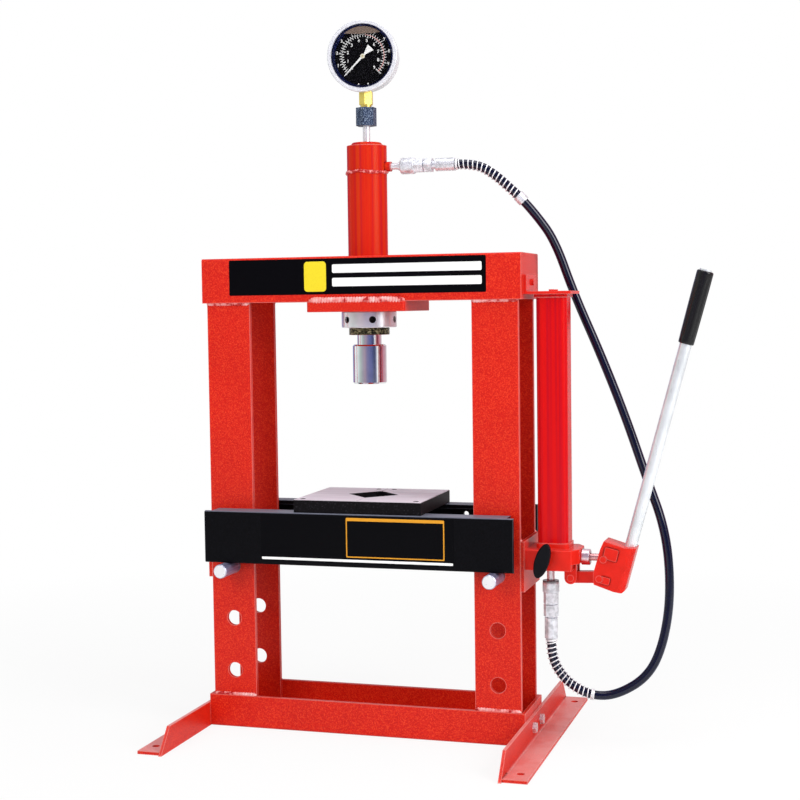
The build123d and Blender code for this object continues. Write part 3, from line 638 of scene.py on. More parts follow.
# cast parts: strong painted shade in inner corners and a faint painted highlight on edges
CAST_RED = enamel("cast_enamel", (0.70, 0.018, 0.010), edge_shading_share=0.18, corner_shade=0.05)
DRAWN_ENAMEL = enamel("drawn_tube_enamel", TUBE_RED, drawn=True, shine=0.35)
RESERVOIR_ENAMEL = enamel("reservoir_enamel", GLOSS_RED, drawn=True)
BLACK = black_enamel()
ZINC = metal(
    "bright_zinc", (0.80, 0.81, 0.86), 0.36, 260, strength=0.02, metallic=0.5, cloud_scale=150, dull=0.72,
)
GUARD_STEEL = metal("guard_wire", (0.90, 0.90, 0.93), 0.3, 260, strength=0.02, metallic=0.15)
RING_PLATE = metal("ring_nut_plate", (0.84, 0.84, 0.88), 0.18, 200, strength=0.03, metallic=0.6)
# painted reflection: the plunger's pink stands in for the red paint it mirrors
PINK_ZINC = metal("plunger_red_reflection", (0.78, 0.42, 0.42), 0.25, 260, strength=0.05, metallic=0.7)
BEZEL = bezel_nickel()
PIN_STEEL = pin_steel()
BOLT_ZINC = metal("foot_bolt_zinc", (0.80, 0.74, 0.76), 0.25, 260, metallic=0.45)
CHROME = metal("chrome", (0.86, 0.87, 0.9), 0.09, 200, (1, 1, 4), 0.03)
DARK_STEEL = blued_steel()
BRASS = metal("brass", (0.80, 0.62, 0.14), 0.3, strength=0.1, metallic=0.55)
SPRING_STEEL = metal("spring_steel", (0.74, 0.80, 0.83), 0.22, 400)
STEEL = ground_steel()
HOSE_RUBBER = black_rubber()
GRIP_BLACK = moulded("grip_black", (0.006, 0.006, 0.007), 0.28, 0.3, 0.2)
KNOB_BLACK = moulded("knob_black", (0.003, 0.003, 0.005), 0.42, 0.05, 0.1)
SEAL_RUBBER = moulded("seal_rubber", (0.03, 0.027, 0.025), 0.6, 0.0)
HANDLE_STEEL = metal("handle_steel", (0.80, 0.83, 0.86), 0.3, 400, (1, 1, 0.05), 0.015, metallic=0.5)
DIAL_BLACK = printed("dial_black", (0.003, 0.003, 0.0035))
WHITE_INK = printed("white_ink", (0.95, 0.95, 0.95))
YELLOW_INK = printed("yellow_ink", (0.83, 0.66, 0.03))
ORANGE_INK = printed("orange_ink", (0.75, 0.33, 0.03))
BUBBLE = printed("gauge_air_bubble", (0.20, 0.145, 0.12))
HUB_CREAM = printed("hub_cream", (0.80, 0.76, 0.62))
RIM_SHADOW_BLUE = moulded("rim_shadow_blue", (0.008, 0.012, 0.06), 0.2, 0.2, 0.2)
SCALE_PINK = printed("scale_pink", (0.80, 0.42, 0.40))
WELD_RED = weld_enamel("weld_enamel", 0.46)
CYLINDER_WELD_RED = weld_enamel("cylinder_weld_enamel", 0.56, 130)
THREAD_STEEL = worn_thread()
HOLE_SHADOW_BLACK = moulded("hole_shadow_black", (0.004, 0.004, 0.005), 0.6, 0.0)
NIPPLE_PLATE = nipple_plate()
GLAND_DARK = metal("gland_dark", (0.06, 0.02, 0.03), 0.35, metallic=0.6)
LABEL_BLACK = moulded("label_film", (0.002, 0.002, 0.003), 0.25, 0.0, 0.05)
GLASS = clear_glass()

CAD_FINISHES = [
    (POWDER, "left_side_plate pump_mounting_plate upper_beam cylinder_support_plate base_channel"),
    (FOOT_POWDER, "left_foot right_foot"),
    (POWDER, "left_front_upright left_rear_upright right_front_upright right_rear_upright"),
    (CAST_RED, "pump_body reservoir_gasket pump_link lug_pin lever_block lever_pins"),
    (CAST_RED, "reservoir_bracket pump_screws"),
    (DRAWN_ENAMEL, "cylinder_tube cylinder_head"),
    (RESERVOIR_ENAMEL, "pump_reservoir reservoir_cap"),
    (BLACK, "bed_front_channel bed_rear_channel bed_cross_ties"),
    (ZINC, "coupler_bodies hose_nuts hose_ferrules"),
    (PIN_STEEL, "left_bed_pin right_bed_pin"),
    (BOLT_ZINC, "foot_bolts"),
    (NIPPLE_PLATE, "coupler_nipples"),
    (ZINC, "coupler_collars packing_nut"),
    (CHROME, "ram_head piston_rod"),
    (RING_PLATE, "cylinder_ring_nut"),
    (BEZEL, "gauge_bezel gauge_case gauge_stem"),
    (PINK_ZINC, "plunger"),
    (STEEL, "left_arbor_plate right_arbor_plate"),
    (SPRING_STEEL, "return_spring piston rod_guide_bush"),
    (DARK_STEEL, "gauge_hex_nut"),
    (BRASS, "gauge_connection gauge_movement"),
    (GRIP_BLACK, "handle_grip"),
    (KNOB_BLACK, "release_knob"),
    (SEAL_RUBBER, "piston_seal"),
    (GLASS, "gauge_lens"),
    (DIAL_BLACK, "gauge_dial"),
    (WHITE_INK, "gauge_needle"),
    (HANDLE_STEEL, "handle_tube"),
]


def dress_nodes():
    """Gives every carried-over node its finish."""
    for material, names in CAD_FINISHES:
        for name in names.split():
            data = NODES[name].data
            data.materials.clear()
            data.materials.append(material)


# ---------------------------------------------------------------- hose

HOSE_DIAMETER = 12.5 * MM
HOSE_ROUTE = [
    (0.1305, 0, 0.8105), (0.153, 0, 0.8105), (0.178, 0.002, 0.802), (0.215, 0.006, 0.769),
    (0.241, 0.015, 0.739), (0.266, 0.031, 0.701), (0.290, 0.042, 0.627), (0.330, 0.034, 0.539),
    (0.365, 0.027, 0.453), (0.393, 0.024, 0.372), (0.421, 0.021, 0.296), (0.428, 0.017, 0.211),
    (0.419, 0.009, 0.142), (0.399, 0.001, 0.096), (0.357, -0.005, 0.069), (0.322, -0.009, 0.066),
    (0.290, -0.011, 0.082), (0.272, -0.011, 0.104), (0.265, -0.011, 0.125), (0.265, -0.011, 0.1458),
]
GUARD_WIRE = 1.7 * MM
GUARD_PITCH = 6.6 * MM
GUARD_CLOSED_PITCH = 1.02 * GUARD_WIRE
GUARD_END_TURNS = 2.5
GUARD_GAP = 0.1 * MM
GUARD_INSET = 0.5 * MM
GUARD_SAMPLES = 4000
GUARD_STEPS_PER_TURN = 20
UPPER_GUARD = 114 * MM
LOWER_GUARD = 108 * MM
END_RING = (104 * MM, 116 * MM)
END_RING_SIDES = 24
END_RING_ROWS = 9


def hose_spline(name):
    """Smooth curve that the route's points pull into shape."""
    curve = bpy.data.curves.new(name, "CURVE")
    curve.dimensions = "3D"
    curve.resolution_u = 24
    spline = curve.splines.new("NURBS")
    spline.points.add(len(HOSE_ROUTE) - 1)
    for point, place in zip(spline.points, HOSE_ROUTE):
        point.co = (*place, 1)
    spline.order_u = 3
    spline.use_endpoint_u = True
    return linked(name, curve)


def hose_line():
    """Points read along the hose's curve, with the distance of each from its start."""
    points, _ = read_mesh(hose_spline("hose_guide"))
    steps = np.linalg.norm(np.diff(points, axis=0), axis=1)
    return points, np.concatenate([[0], np.cumsum(steps)])


def along_hose(place, line, distance):
    """Points of the hose's line at given distances, each with two unit vectors square to the line there."""
    centres = np.stack([np.interp(place, distance, line[:, axis]) for axis in range(3)], axis=1)
    tangents = unit(np.gradient(centres, axis=0))
    normal = unit(np.cross(AXIS_Y, tangents))
    return centres, normal, np.cross(tangents, normal)


def wire_guard(name, node, line, distance, start, end):
    """Wire wound round the hose: open turns in the middle and closed turns at both ends.

    Turn count t grows with the distance s as the sum of 1 / pitch, and the wire's centre is
    at the hose's centre + radius * (cos 2 pi t * normal + sin 2 pi t * binormal).
    """
    length = abs(end - start)
    sample = np.linspace(0, length, GUARD_SAMPLES)
    near_end = np.minimum(sample, length - sample) < GUARD_END_TURNS * GUARD_WIRE
    pitch = np.where(near_end, GUARD_CLOSED_PITCH, GUARD_PITCH)
    turns = np.concatenate([[0], np.cumsum(np.diff(sample) / pitch[1:])])
    turn = np.linspace(0, turns[-1], int(turns[-1] * GUARD_STEPS_PER_TURN))
    place = start + np.sign(end - start) * np.interp(turn, turns, sample)
    centres, normal, binormal = along_hose(place, line, distance)
    angle = 2 * np.pi * turn[:, None]
    radius = HOSE_DIAMETER / 2 + GUARD_WIRE / 2 + GUARD_GAP
    wire = centres + radius * (np.cos(angle) * normal + np.sin(angle) * binormal)
    piece = wire_tube(name, wire, GUARD_WIRE / 2, GUARD_STEEL)
    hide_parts(node)
    return piece


def guard_ring(line, distance):
    """Plain sleeve at the end of the upper guard: an outer and an inner wall carried along the hose."""
    centres, normal, binormal = along_hose(np.linspace(*END_RING, END_RING_ROWS), line, distance)
    angle = around(END_RING_SIDES)[None, :, None]
    ring = np.cos(angle) * normal[:, None] + np.sin(angle) * binormal[:, None]
    outer = centres[:, None] + (HOSE_DIAMETER / 2 + GUARD_WIRE + 0.3 * MM) * ring
    inner = centres[::-1, None] + (HOSE_DIAMETER / 2 + 0.05 * MM) * ring[::-1]
    points = np.concatenate([outer, inner])
    faces = tube_faces(len(points), END_RING_SIDES, closed=True)
    piece = finish_mesh("upper_guard_ring", points.reshape(-1, 3), faces, ZINC, "frame", 50)
    return piece


def hose():
    """The hose with its two wire guards."""
    piece = hose_spline("hose")
    piece.data.bevel_depth = HOSE_DIAMETER / 2
    piece.data.bevel_resolution = 6
    piece.data.use_fill_caps = True
    piece.data.materials.append(HOSE_RUBBER)
    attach(piece, "frame")
    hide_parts("hydraulic_hose")
    line, distance = hose_line()
    total = distance[-1]
    upper = wire_guard("upper_wire_guard", "upper_spring_guard", line, distance, GUARD_INSET, UPPER_GUARD)
    end_ring = guard_ring(line, distance)
    lower = wire_guard(
        "lower_wire_guard", "lower_spring_guard", line, distance, total - GUARD_INSET, total - LOWER_GUARD,
    )


# ---------------------------------------------------------------- couplers and nuts

CHAMFER = 0.8 * MM
KNURL_ROWS = 24
POINTS_PER_RIDGE = 6
RIDGE_STEEPNESS = 1.2
# start, end, radius and bore of the knurled rings
INLET_COLLAR = (0, 20 * MM, 11.5 * MM, 9 * MM)
OUTLET_COLLAR = (0, 14.1 * MM, 11.6 * MM, 9 * MM)
OUTLET_GLAND = (0, 4.6 * MM, 7.4 * MM, 5.5 * MM)
GLAND_GAP = 0.1 * MM


def knurl(count, depth, slant):
    """Crossed ridges: two families of waves that lean opposite ways along the axis."""
    def ripple(station, angle):
        lean = slant * station
        return 1 + depth * np.cos(count * angle + lean) * np.cos(count * angle - lean)
    return ripple


def knurled_ring(name, size, origin, direction, material, count=36, depth=0.008):
    """Ring with a bore and chamfered ends whose outer band is knurled."""
    start, end, outer, inner = size
    band = np.linspace(start + CHAMFER, end - CHAMFER, KNURL_ROWS)
    profile = [(start, inner), (start, outer - CHAMFER)]
    profile += [(s, outer) for s in band]
    profile += [(end, outer - CHAMFER), (end, inner)]
    waves = knurl(count, depth, count / (outer * RIDGE_STEEPNESS))

    def ripple(station, angle):
        inside = (station > start + CHAMFER * 0.9) & (station < end - CHAMFER * 0.9)
        return np.where(inside, waves(station, angle), 1.0)
    segments = count * POINTS_PER_RIDGE
    return turned(name, profile, origin, direction, material, "frame", segments, ripple, True, sharp_deg=60)


def couplers():
    """Knurled sleeves of both quick couplers, and the dark gland where the outlet leaves the pump."""
    low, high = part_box("coupler_collars")
    pump_y = middle("handle_tube")[1]
    inlet_z = high[2] - INLET_COLLAR[2]
    outlet_x = high[0] - OUTLET_COLLAR[2]
    gland_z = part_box("pump_body")[0][2] - OUTLET_GLAND[1] - GLAND_GAP
    first = knurled_ring("inlet_collar", INLET_COLLAR, (low[0], 0, inlet_z), AXIS_X, ZINC)
    second = knurled_ring("outlet_collar", OUTLET_COLLAR, (outlet_x, pump_y, low[2]), AXIS_Z, ZINC)
    gland = knurled_ring(
        "outlet_gland", OUTLET_GLAND, (outlet_x, pump_y, gland_z), AXIS_Z, GLAND_DARK, count=6, depth=0.02,
    )
    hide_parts("coupler_collars")


# ---------------------------------------------------------------- gauge

DIAL_START_DEG = 225
DIAL_SWEEP_DEG = 270
GAUGE_CENTRE_Z = middle("gauge_lens")[2]
GAUGE_FACING = unit(middle("gauge_lens") * (1, 1, 0))
GAUGE_ACROSS = np.cross(AXIS_Z, GAUGE_FACING)
DIAL_FRONT = 17.05 * MM
NEEDLE_FRONT = 20 * MM
LENS_BACK = 22 * MM
SCALE_RADIUS = 30.4 * MM
FINE_MARK = 1.0 * MM
BOLD_MARK = 1.6 * MM
SCALE_MARKS = [
    # spaces, where the marks start and end, their width
    (40, SCALE_RADIUS, 33.8 * MM, FINE_MARK),
    (10, SCALE_RADIUS, 35.2 * MM, BOLD_MARK),
    (36, 27.4 * MM, SCALE_RADIUS, FINE_MARK),
    (9, 26.2 * MM, SCALE_RADIUS, BOLD_MARK),
]
# spaces of the scale, the numbers on it, their radius and height
OUTER_NUMBERS = (10, range(1, 10), 38.0 * MM, 6.4 * MM)
INNER_NUMBERS = (9, range(10), 22.6 * MM, 6.2 * MM)
RED_ARC_FROM = 0.52
NEEDLE_OUTLINE = [
    # towards the tip and aside, in mm
    (38.3, -0.35), (38.3, 0.35), (4, 1.5), (-3.5, 1.2), (-9, 2.9), (-16.5, 5.8), (-16.9, 0), (-16.5, -5.8),
    (-9, -2.9), (-3.5, -1.2), (4, -1.5),
]
# station and radius of the small turned pieces, in mm
HUB_PROFILE = [(-7, 1.1), (-2.2, 1.1), (-2, 3.3), (0.3, 3.3), (0.7, 2.6)]
SPINDLE_PROFILE = [(0.6, 0.9), (1.1, 0.9), (1.2, 0.6)]
RIVET_PROFILE = [(-0.03, 1.0), (0.3, 1.0), (0.5, 0.6)]
RIVET_PLACE = (6.8 * MM, -38.5 * MM)
BUBBLE_RADIUS = 41.5 * MM
BUBBLE_HALF = math.radians(39)
BUBBLE_SAG = 1.2 * MM


def on_gauge(flat, depth):
    """Places of flat points (right, up) on a plane at a depth in front of the gauge's stem."""
    flat = np.asarray(flat, float)
    centre = np.array([0, 0, GAUGE_CENTRE_Z]) + depth * GAUGE_FACING
    return centre + flat[:, :1] * GAUGE_ACROSS + flat[:, 1:2] * AXIS_Z


def dial_plate(name, outline, depth, thickness, material, body):
    """Thin plate on the gauge whose outline is a closed line, with its front at a depth."""
    return slab(name, on_gauge(outline, depth - thickness), on_gauge(outline, depth), material, body)


def dial_point(fraction, radius):
    """Right and up of a point on the dial at a fraction of the sweep and a radius."""
    angle = np.radians(DIAL_START_DEG - DIAL_SWEEP_DEG * np.asarray(fraction))
    return radius * np.cos(angle), radius * np.sin(angle)


def dial_arc(radius, width, start=0.0, steps=120):
    """Flat strip along the sweep from a fraction of it to its end, as rows of inner and outer points."""
    fraction = np.linspace(start, 1, steps)
    inner = np.stack(dial_point(fraction, radius - width / 2), axis=1)
    outer = np.stack(dial_point(fraction, radius + width / 2), axis=1)
    return np.stack([inner, outer], axis=1).reshape(-1, 2), grid_faces(steps, 2, wrap_columns=False)


def dial_ticks(count, start, end, width):
    """Flat radial marks, evenly spaced over the sweep."""
    angle = np.radians(DIAL_START_DEG - DIAL_SWEEP_DEG * np.linspace(0, 1, count + 1))
    along = np.stack([np.cos(angle), np.sin(angle)], axis=1)
    side = np.stack([-np.sin(angle), np.cos(angle)], axis=1) * width / 2
    corners = [along * start - side, along * start + side, along * end + side, along * end - side]
    corners = np.stack(corners, axis=1)
    return corners.reshape(-1, 2), np.arange((count + 1) * 4).reshape(-1, 4)


def digit_mesh(text, size):
    """Outline of a number as flat points and faces, centred on zero and a little bolder than the type."""
    curve = bpy.data.curves.new("digit", "FONT")
    curve.body = text
    curve.size = size
    curve.align_x = "CENTER"
    curve.align_y = "CENTER"
    curve.offset = 0.2 * MM
    curve.resolution_u = 3
    points, faces = read_mesh(linked("digit", curve))
    return points[:, :2], faces


def dial_scale():
    """White double scale: an arc, outer and inner marks and plain numbers."""
    parts = [dial_arc(SCALE_RADIUS, 0.6 * MM)] + [dial_ticks(*marks) for marks in SCALE_MARKS]
    for last, labels, radius, size in (OUTER_NUMBERS, INNER_NUMBERS):
        for number in labels:
            points, faces = digit_mesh(str(number), size)
            parts.append((points + np.array(dial_point(number / last, radius)), faces))
    points, faces, offset = [], [], 0
    for flat, part_faces in parts:
        points.append(on_gauge(flat, DIAL_FRONT))
        faces += [[int(index) + offset for index in face] for face in part_faces]
        offset += len(flat)
    piece = finish_mesh("gauge_scale", np.concatenate(points), faces, WHITE_INK, "frame", solid=False)
    solid = piece.modifiers.new("thickness", "SOLIDIFY")
    solid.thickness = 0.04 * MM
    solid.offset = 0


def red_arc():
    """Thin pink band along the scale's far half: the strip of an arc at two depths, with walls between."""
    flat, strip = dial_arc(SCALE_RADIUS, 0.9 * MM, start=RED_ARC_FROM)
    count = len(flat)
    points = np.concatenate([on_gauge(flat, DIAL_FRONT + 0.03 * MM), on_gauge(flat, DIAL_FRONT + 0.07 * MM)])
    outline = list(range(0, count, 2)) + list(range(count - 1, 0, -2))
    walls = [[a + count, b + count, b, a] for a, b in zip(outline, outline[1:] + outline[:1])]
    faces = strip[:, ::-1].tolist() + (strip + count).tolist() + walls
    piece = finish_mesh("gauge_red_arc", points, faces, SCALE_PINK, "frame")


def gauge_turning(name, profile, centre, material, body, segments):
    """Small turned piece on the gauge, its axis towards the reader."""
    piece = turned(name, from_mm(profile), centre, GAUGE_FACING, material, body, segments)


def needle():
    """White pointer with a long thin tip and a tail that widens to a paddle, on a cream hub."""
    along, aside = np.array(from_mm(NEEDLE_OUTLINE)).T
    angle = math.radians(DIAL_START_DEG)
    right = along * math.cos(angle) - aside * math.sin(angle)
    up = along * math.sin(angle) + aside * math.cos(angle)
    outline = np.stack([right, up], axis=1)
    pointer = dial_plate(
        "needle_pointer", outline, NEEDLE_FRONT, 0.6 * MM, WHITE_INK, "needle",
    )
    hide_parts("gauge_needle")
    centre = on_gauge([(0, 0)], NEEDLE_FRONT)[0]
    gauge_turning("needle_hub", HUB_PROFILE, centre, HUB_CREAM, "needle", 40)
    gauge_turning("needle_spindle", SPINDLE_PROFILE, centre, BRASS, "needle", 24)


def air_bubble():
    """Bubble of the filled gauge: an arc of the rim above a line that sags a little."""
    arc = np.linspace(np.pi / 2 - BUBBLE_HALF, np.pi / 2 + BUBBLE_HALF, 32)
    half_chord = BUBBLE_RADIUS * math.sin(BUBBLE_HALF)
    chord = np.linspace(-half_chord, half_chord, 32)
    dip = BUBBLE_RADIUS * math.cos(BUBBLE_HALF) - BUBBLE_SAG * (1 - (chord / half_chord) ** 2)
    rim = BUBBLE_RADIUS * np.stack([np.cos(arc), np.sin(arc)], axis=1)
    outline = np.concatenate([rim, np.stack([chord, dip], axis=1)])
    dial_plate("gauge_air_bubble", outline, LENS_BACK - 0.4 * MM, 0.3 * MM, BUBBLE, "frame")


def gauge_details():
    """Scale, needle, a dark blue ring painted as the shade inside the bezel, air bubble and the dial's two
    rivets.
    """
    dial_scale()
    red_arc()
    needle()
    # painted shadow: a dark ring between the dial and the lens, where the bezel shades the dial
    rim_front = LENS_BACK - 0.2 * MM
    rim = [(DIAL_FRONT, 40.6 * MM), (rim_front, 43.4 * MM), (rim_front, 45 * MM), (DIAL_FRONT, 45 * MM)]
    centre = on_gauge([(0, 0)], 0)[0]
    piece = turned("gauge_rim_shadow", rim, centre, GAUGE_FACING, RIM_SHADOW_BLUE, "frame", 128, closed=True)
    air_bubble()
    for side, name in ((-1, "left"), (1, "right")):
        place = on_gauge([(side * RIVET_PLACE[0], RIVET_PLACE[1])], DIAL_FRONT)[0]
        gauge_turning(f"dial_rivet_{name}", RIVET_PROFILE, place, WHITE_INK, "frame", 24)


# ---------------------------------------------------------------- welds

WELD_STEP = 4.2 * MM
# radians a metre and where each starts
SLOW_WAVES = ((61, 1.3), (147, 0.4))
RINGS_PER_STEP = 8
SUPPORT_BEAD = 5 * MM
POST_BEAD = 3.2 * MM
PLATE_BEAD = 2.2 * MM
CYLINDER_BEAD = 2.3 * MM
BEAD_RISE = 0.5 * MM


def weld(name, start, end, radius, wobble=0.16):
    """Bead between two points: a tube whose radius rises and falls with each pass of the torch.

    Radius = mean * (1 + 0.10 * cos(2 pi s / step) + slow sines that make it uneven), less at both ends.
    """
    start, end = np.array(start, float), np.array(end, float)
    length = np.linalg.norm(end - start)
    s = np.linspace(0, length, max(12, int(length / WELD_STEP * RINGS_PER_STEP)))
    (first_wave, first_start), (second_wave, second_start) = SLOW_WAVES
    slow = 0.3 * np.sin(s * first_wave + first_start) + 0.2 * np.sin(s * second_wave + second_start)
    swell = 1 + 0.10 * np.cos(2 * np.pi * s / WELD_STEP) + wobble * slow
    taper = np.clip(np.minimum(s, length - s) / (radius * 1.2), 0.15, 1) ** 0.5
    centres = start + (end - start) * (s / length)[:, None]
    tangents = np.broadcast_to((end - start) / length, centres.shape)
    weld_mesh(name, weld_ring(centres, tangents, radius * swell * taper))


def weld_ring(centres, tangents, radius, sides=10):
    """Round sections of a listed radius, square to the tangents of a straight line or of a level circle."""
    first, second = across(tangents[0])
    if np.ptp(tangents, axis=0).max() > 1e-6:
        second = np.broadcast_to(AXIS_Z, centres.shape)
        first = np.cross(second, tangents)
    angle = around(sides)[None, :, None]
    first = np.broadcast_to(first, centres.shape)[:, None, :]
    second = np.broadcast_to(second, centres.shape)[:, None, :]
    return centres[:, None, :] + radius[:, None, None] * (np.cos(angle) * first + np.sin(angle) * second)


def weld_mesh(name, points, closed=False, material=WELD_RED):
    """Bead from its rings of points, with flat ends when it isn't a closed ring."""
    faces = tube_faces(*points.shape[:2], closed)
    piece = finish_mesh(name, points.reshape(-1, 3), faces, material, "frame", 80)


def cylinder_weld():
    """Bead round the seam under the cylinder's head.

    Its height wanders with three and seven waves a turn; its radius has 44 passes of the torch and five
    slow waves a turn.
    """
    low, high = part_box("cylinder_tube")
    radius = (high[0] - low[0]) / 2
    angle = around(420)
    height = high[2] + (0.9 * np.sin(3 * angle + 0.6) + 0.5 * np.sin(7 * angle)) * MM
    centres = np.stack([radius * np.cos(angle), radius * np.sin(angle), height], axis=1)
    tangents = np.stack([-np.sin(angle), np.cos(angle), np.zeros_like(angle)], axis=1)
    swell = CYLINDER_BEAD * (1 + 0.12 * np.cos(44 * angle) + 0.12 * np.sin(5 * angle + 1))
    weld_mesh("cylinder_weld", weld_ring(centres, tangents, swell, 12), True, CYLINDER_WELD_RED)


def frame_welds():
    """Beads of the beam, its support plate, the posts, the side plates and the base."""
    beam_low, beam_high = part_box("upper_beam")
    plate_low, plate_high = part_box("cylinder_support_plate")
    base_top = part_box("base_channel")[1][2]
    post_low, post_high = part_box("right_front_upright")
    ledge_z = plate_high[2] + 1.5 * MM
    seams = (("beam", beam_low[2] - BEAD_RISE), ("base", base_top + BEAD_RISE))
    for side, name in ((-1, "front"), (1, "rear")):
        ledge_y = side * (beam_high[1] + plate_high[1]) / 2
        start, end = (plate_low[0] + 3 * MM, ledge_y, ledge_z), (plate_high[0] - 1 * MM, ledge_y, ledge_z)
        weld(f"support_weld_{name}", start, end, SUPPORT_BEAD, wobble=0.1)
        post_y = side * (abs(post_low[1]) + 0.2 * MM)
        for x_side, x_name in ((-1, "left"), (1, "right")):
            for seam, z in seams:
                start, end = (x_side * post_low[0], post_y, z), (x_side * post_high[0], post_y, z)
                weld(f"{seam}_weld_{x_name}_{name}", start, end, POST_BEAD)
    for node, x_side in (("left_side_plate", -1), ("pump_mounting_plate", 1)):
        plate_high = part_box(node)[1]
        x, z = x_side * post_high[0], plate_high[2] + 0.8 * MM
        for y_side, y_name in ((-1, "front"), (1, "rear")):
            y = y_side * (plate_high[1] - 1 * MM)
            weld(f"{node}_weld_{y_name}", (x, y, z), (x, y * 0.9, z), PLATE_BEAD)


# ---------------------------------------------------------------- ram and pump details

THREAD_PITCH = 2 * MM
THREAD_DEPTH = 0.75 * MM
THREAD_BORE = 3 * MM
SPRING_WIRE_R = 1.3 * MM
SPRING_TURNS = 11
SPRING_STEPS_PER_TURN = 28
SPANNER_HOLES = 6
SPANNER_START_DEG = -65
# station and radius, in mm
SPANNER_HOLE_PROFILE = [(0, 4.95), (7.5, 4.95), (7.5, 4.6), (0.4, 4.5), (0.4, 0.5)]
PACKING_NUT_LENGTH = 12 * MM
GRIP_LENGTH = 101 * MM
GRIP_BORE = 8.3 * MM
FLUTE_FADE = 8 * MM
FLUTE_DEPTH = 0.035


def cylinder_thread():
    """Ridges of the collar thread at the cylinder's lower end: radius rises and falls once each pitch."""
    low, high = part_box("cylinder_tube")
    radius = (high[0] - low[0]) / 2
    start, end = low[2] + 0.3 * MM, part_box("cylinder_ring_nut")[0][2] - 0.2 * MM
    station = np.linspace(start, end, 60)
    wave = np.abs(((station - start) / THREAD_PITCH * 2) % 2 - 1)
    ridges = zip(station, radius + 0.15 * MM + THREAD_DEPTH * wave)
    profile = [(start, radius - THREAD_BORE), *ridges, (end, radius - THREAD_BORE)]
    piece = turned(
        "cylinder_thread", profile, (0, 0, 0), AXIS_Z, THREAD_STEEL, "frame", 96, closed=True, sharp_deg=20,
    )


def return_coil():
    """Return spring: x = r cos a, y = r sin a, z rises evenly."""
    low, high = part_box("return_spring")
    wire = SPRING_WIRE_R
    radius = (high[0] - low[0]) / 2 - wire
    turn = np.linspace(0, SPRING_TURNS, SPRING_TURNS * SPRING_STEPS_PER_TURN + 1)
    angle = 2 * np.pi * turn
    height = low[2] + wire + (high[2] - low[2] - 2 * wire) * turn / SPRING_TURNS
    centres = np.stack([radius * np.cos(angle), radius * np.sin(angle), height], axis=1)
    coil = wire_tube("return_coil", centres, wire, DARK_STEEL)
    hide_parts("return_spring")
    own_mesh(coil)


def spanner_holes():
    """Dark linings of the spanner holes round the ring nut: painted shade inside them."""
    low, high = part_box("cylinder_ring_nut")
    tube_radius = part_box("cylinder_tube")[1][0]
    centre = np.array([0, 0, (low[2] + high[2]) / 2])
    profile = from_mm(SPANNER_HOLE_PROFILE)
    for step in range(SPANNER_HOLES):
        angle = math.radians(360 / SPANNER_HOLES * step + SPANNER_START_DEG)
        outward = np.array([math.cos(angle), math.sin(angle), 0])
        place = centre + outward * (tube_radius + 0.2 * MM)
        # painted shade: a black lining stands where the hole's inside lies in shadow
        piece = turned(f"spanner_hole_{step + 1}", profile, place, outward, HOLE_SHADOW_BLACK, "frame", 32)


def packing_nut():
    """Knurled nut round the plunger, plated above and painted below."""
    low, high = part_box("packing_nut")
    size = (0, PACKING_NUT_LENGTH, (high[2] - low[2]) / 2, 6 * MM)
    _, y, z = middle("packing_nut")
    piece = knurled_ring(
        "knurled_packing_nut", size, (high[0] - PACKING_NUT_LENGTH, y, z), AXIS_X, NUT_HALF_PAINTED, count=28,
        depth=0.012,
    )
    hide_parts("packing_nut")


def handle_grip():
    """Grip with lengthwise flutes and a rounded end.

    Its radius grows evenly towards the end with a slight swell, times 1 - depth * cos 10 a where the flutes
    are, and they fade at both ends.
    """
    centre = middle("handle_grip")
    direction = unit(centre - middle("handle_tube"))
    start, end = -GRIP_LENGTH / 2, GRIP_LENGTH / 2
    station = np.linspace(start + 2 * MM, end - 2.5 * MM, 40)
    share = (station - station[0]) / (station[-1] - station[0])
    outer = (10.7 + 0.7 * share) * MM + 0.15 * MM * np.sin(share * 3)
    profile = [(start, GRIP_BORE), (start, 9.9 * MM), (start + 0.8 * MM, 10.5 * MM), *zip(station, outer)]
    profile += [(end - 1.2 * MM, 11.1 * MM), (end - 0.3 * MM, 10.2 * MM), (end, 9.2 * MM), (end, GRIP_BORE)]

    def ripple(s, angle):
        fade_in = np.clip((s - start - 6 * MM) / FLUTE_FADE, 0, 1)
        fade_out = np.clip((end - 10 * MM - s) / FLUTE_FADE, 0, 1)
        flutes = 1 - FLUTE_DEPTH * fade_in * fade_out * np.clip(np.cos(10 * angle), -0.2, 1)
        return np.where((s <= start) | (s >= end), 1.0, flutes)
    piece = turned(
        "fluted_grip", profile, centre, direction, GRIP_BLACK, "lever", 120, ripple, True, sharp_deg=50,
    )
    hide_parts("handle_grip")


# ---------------------------------------------------------------- panels

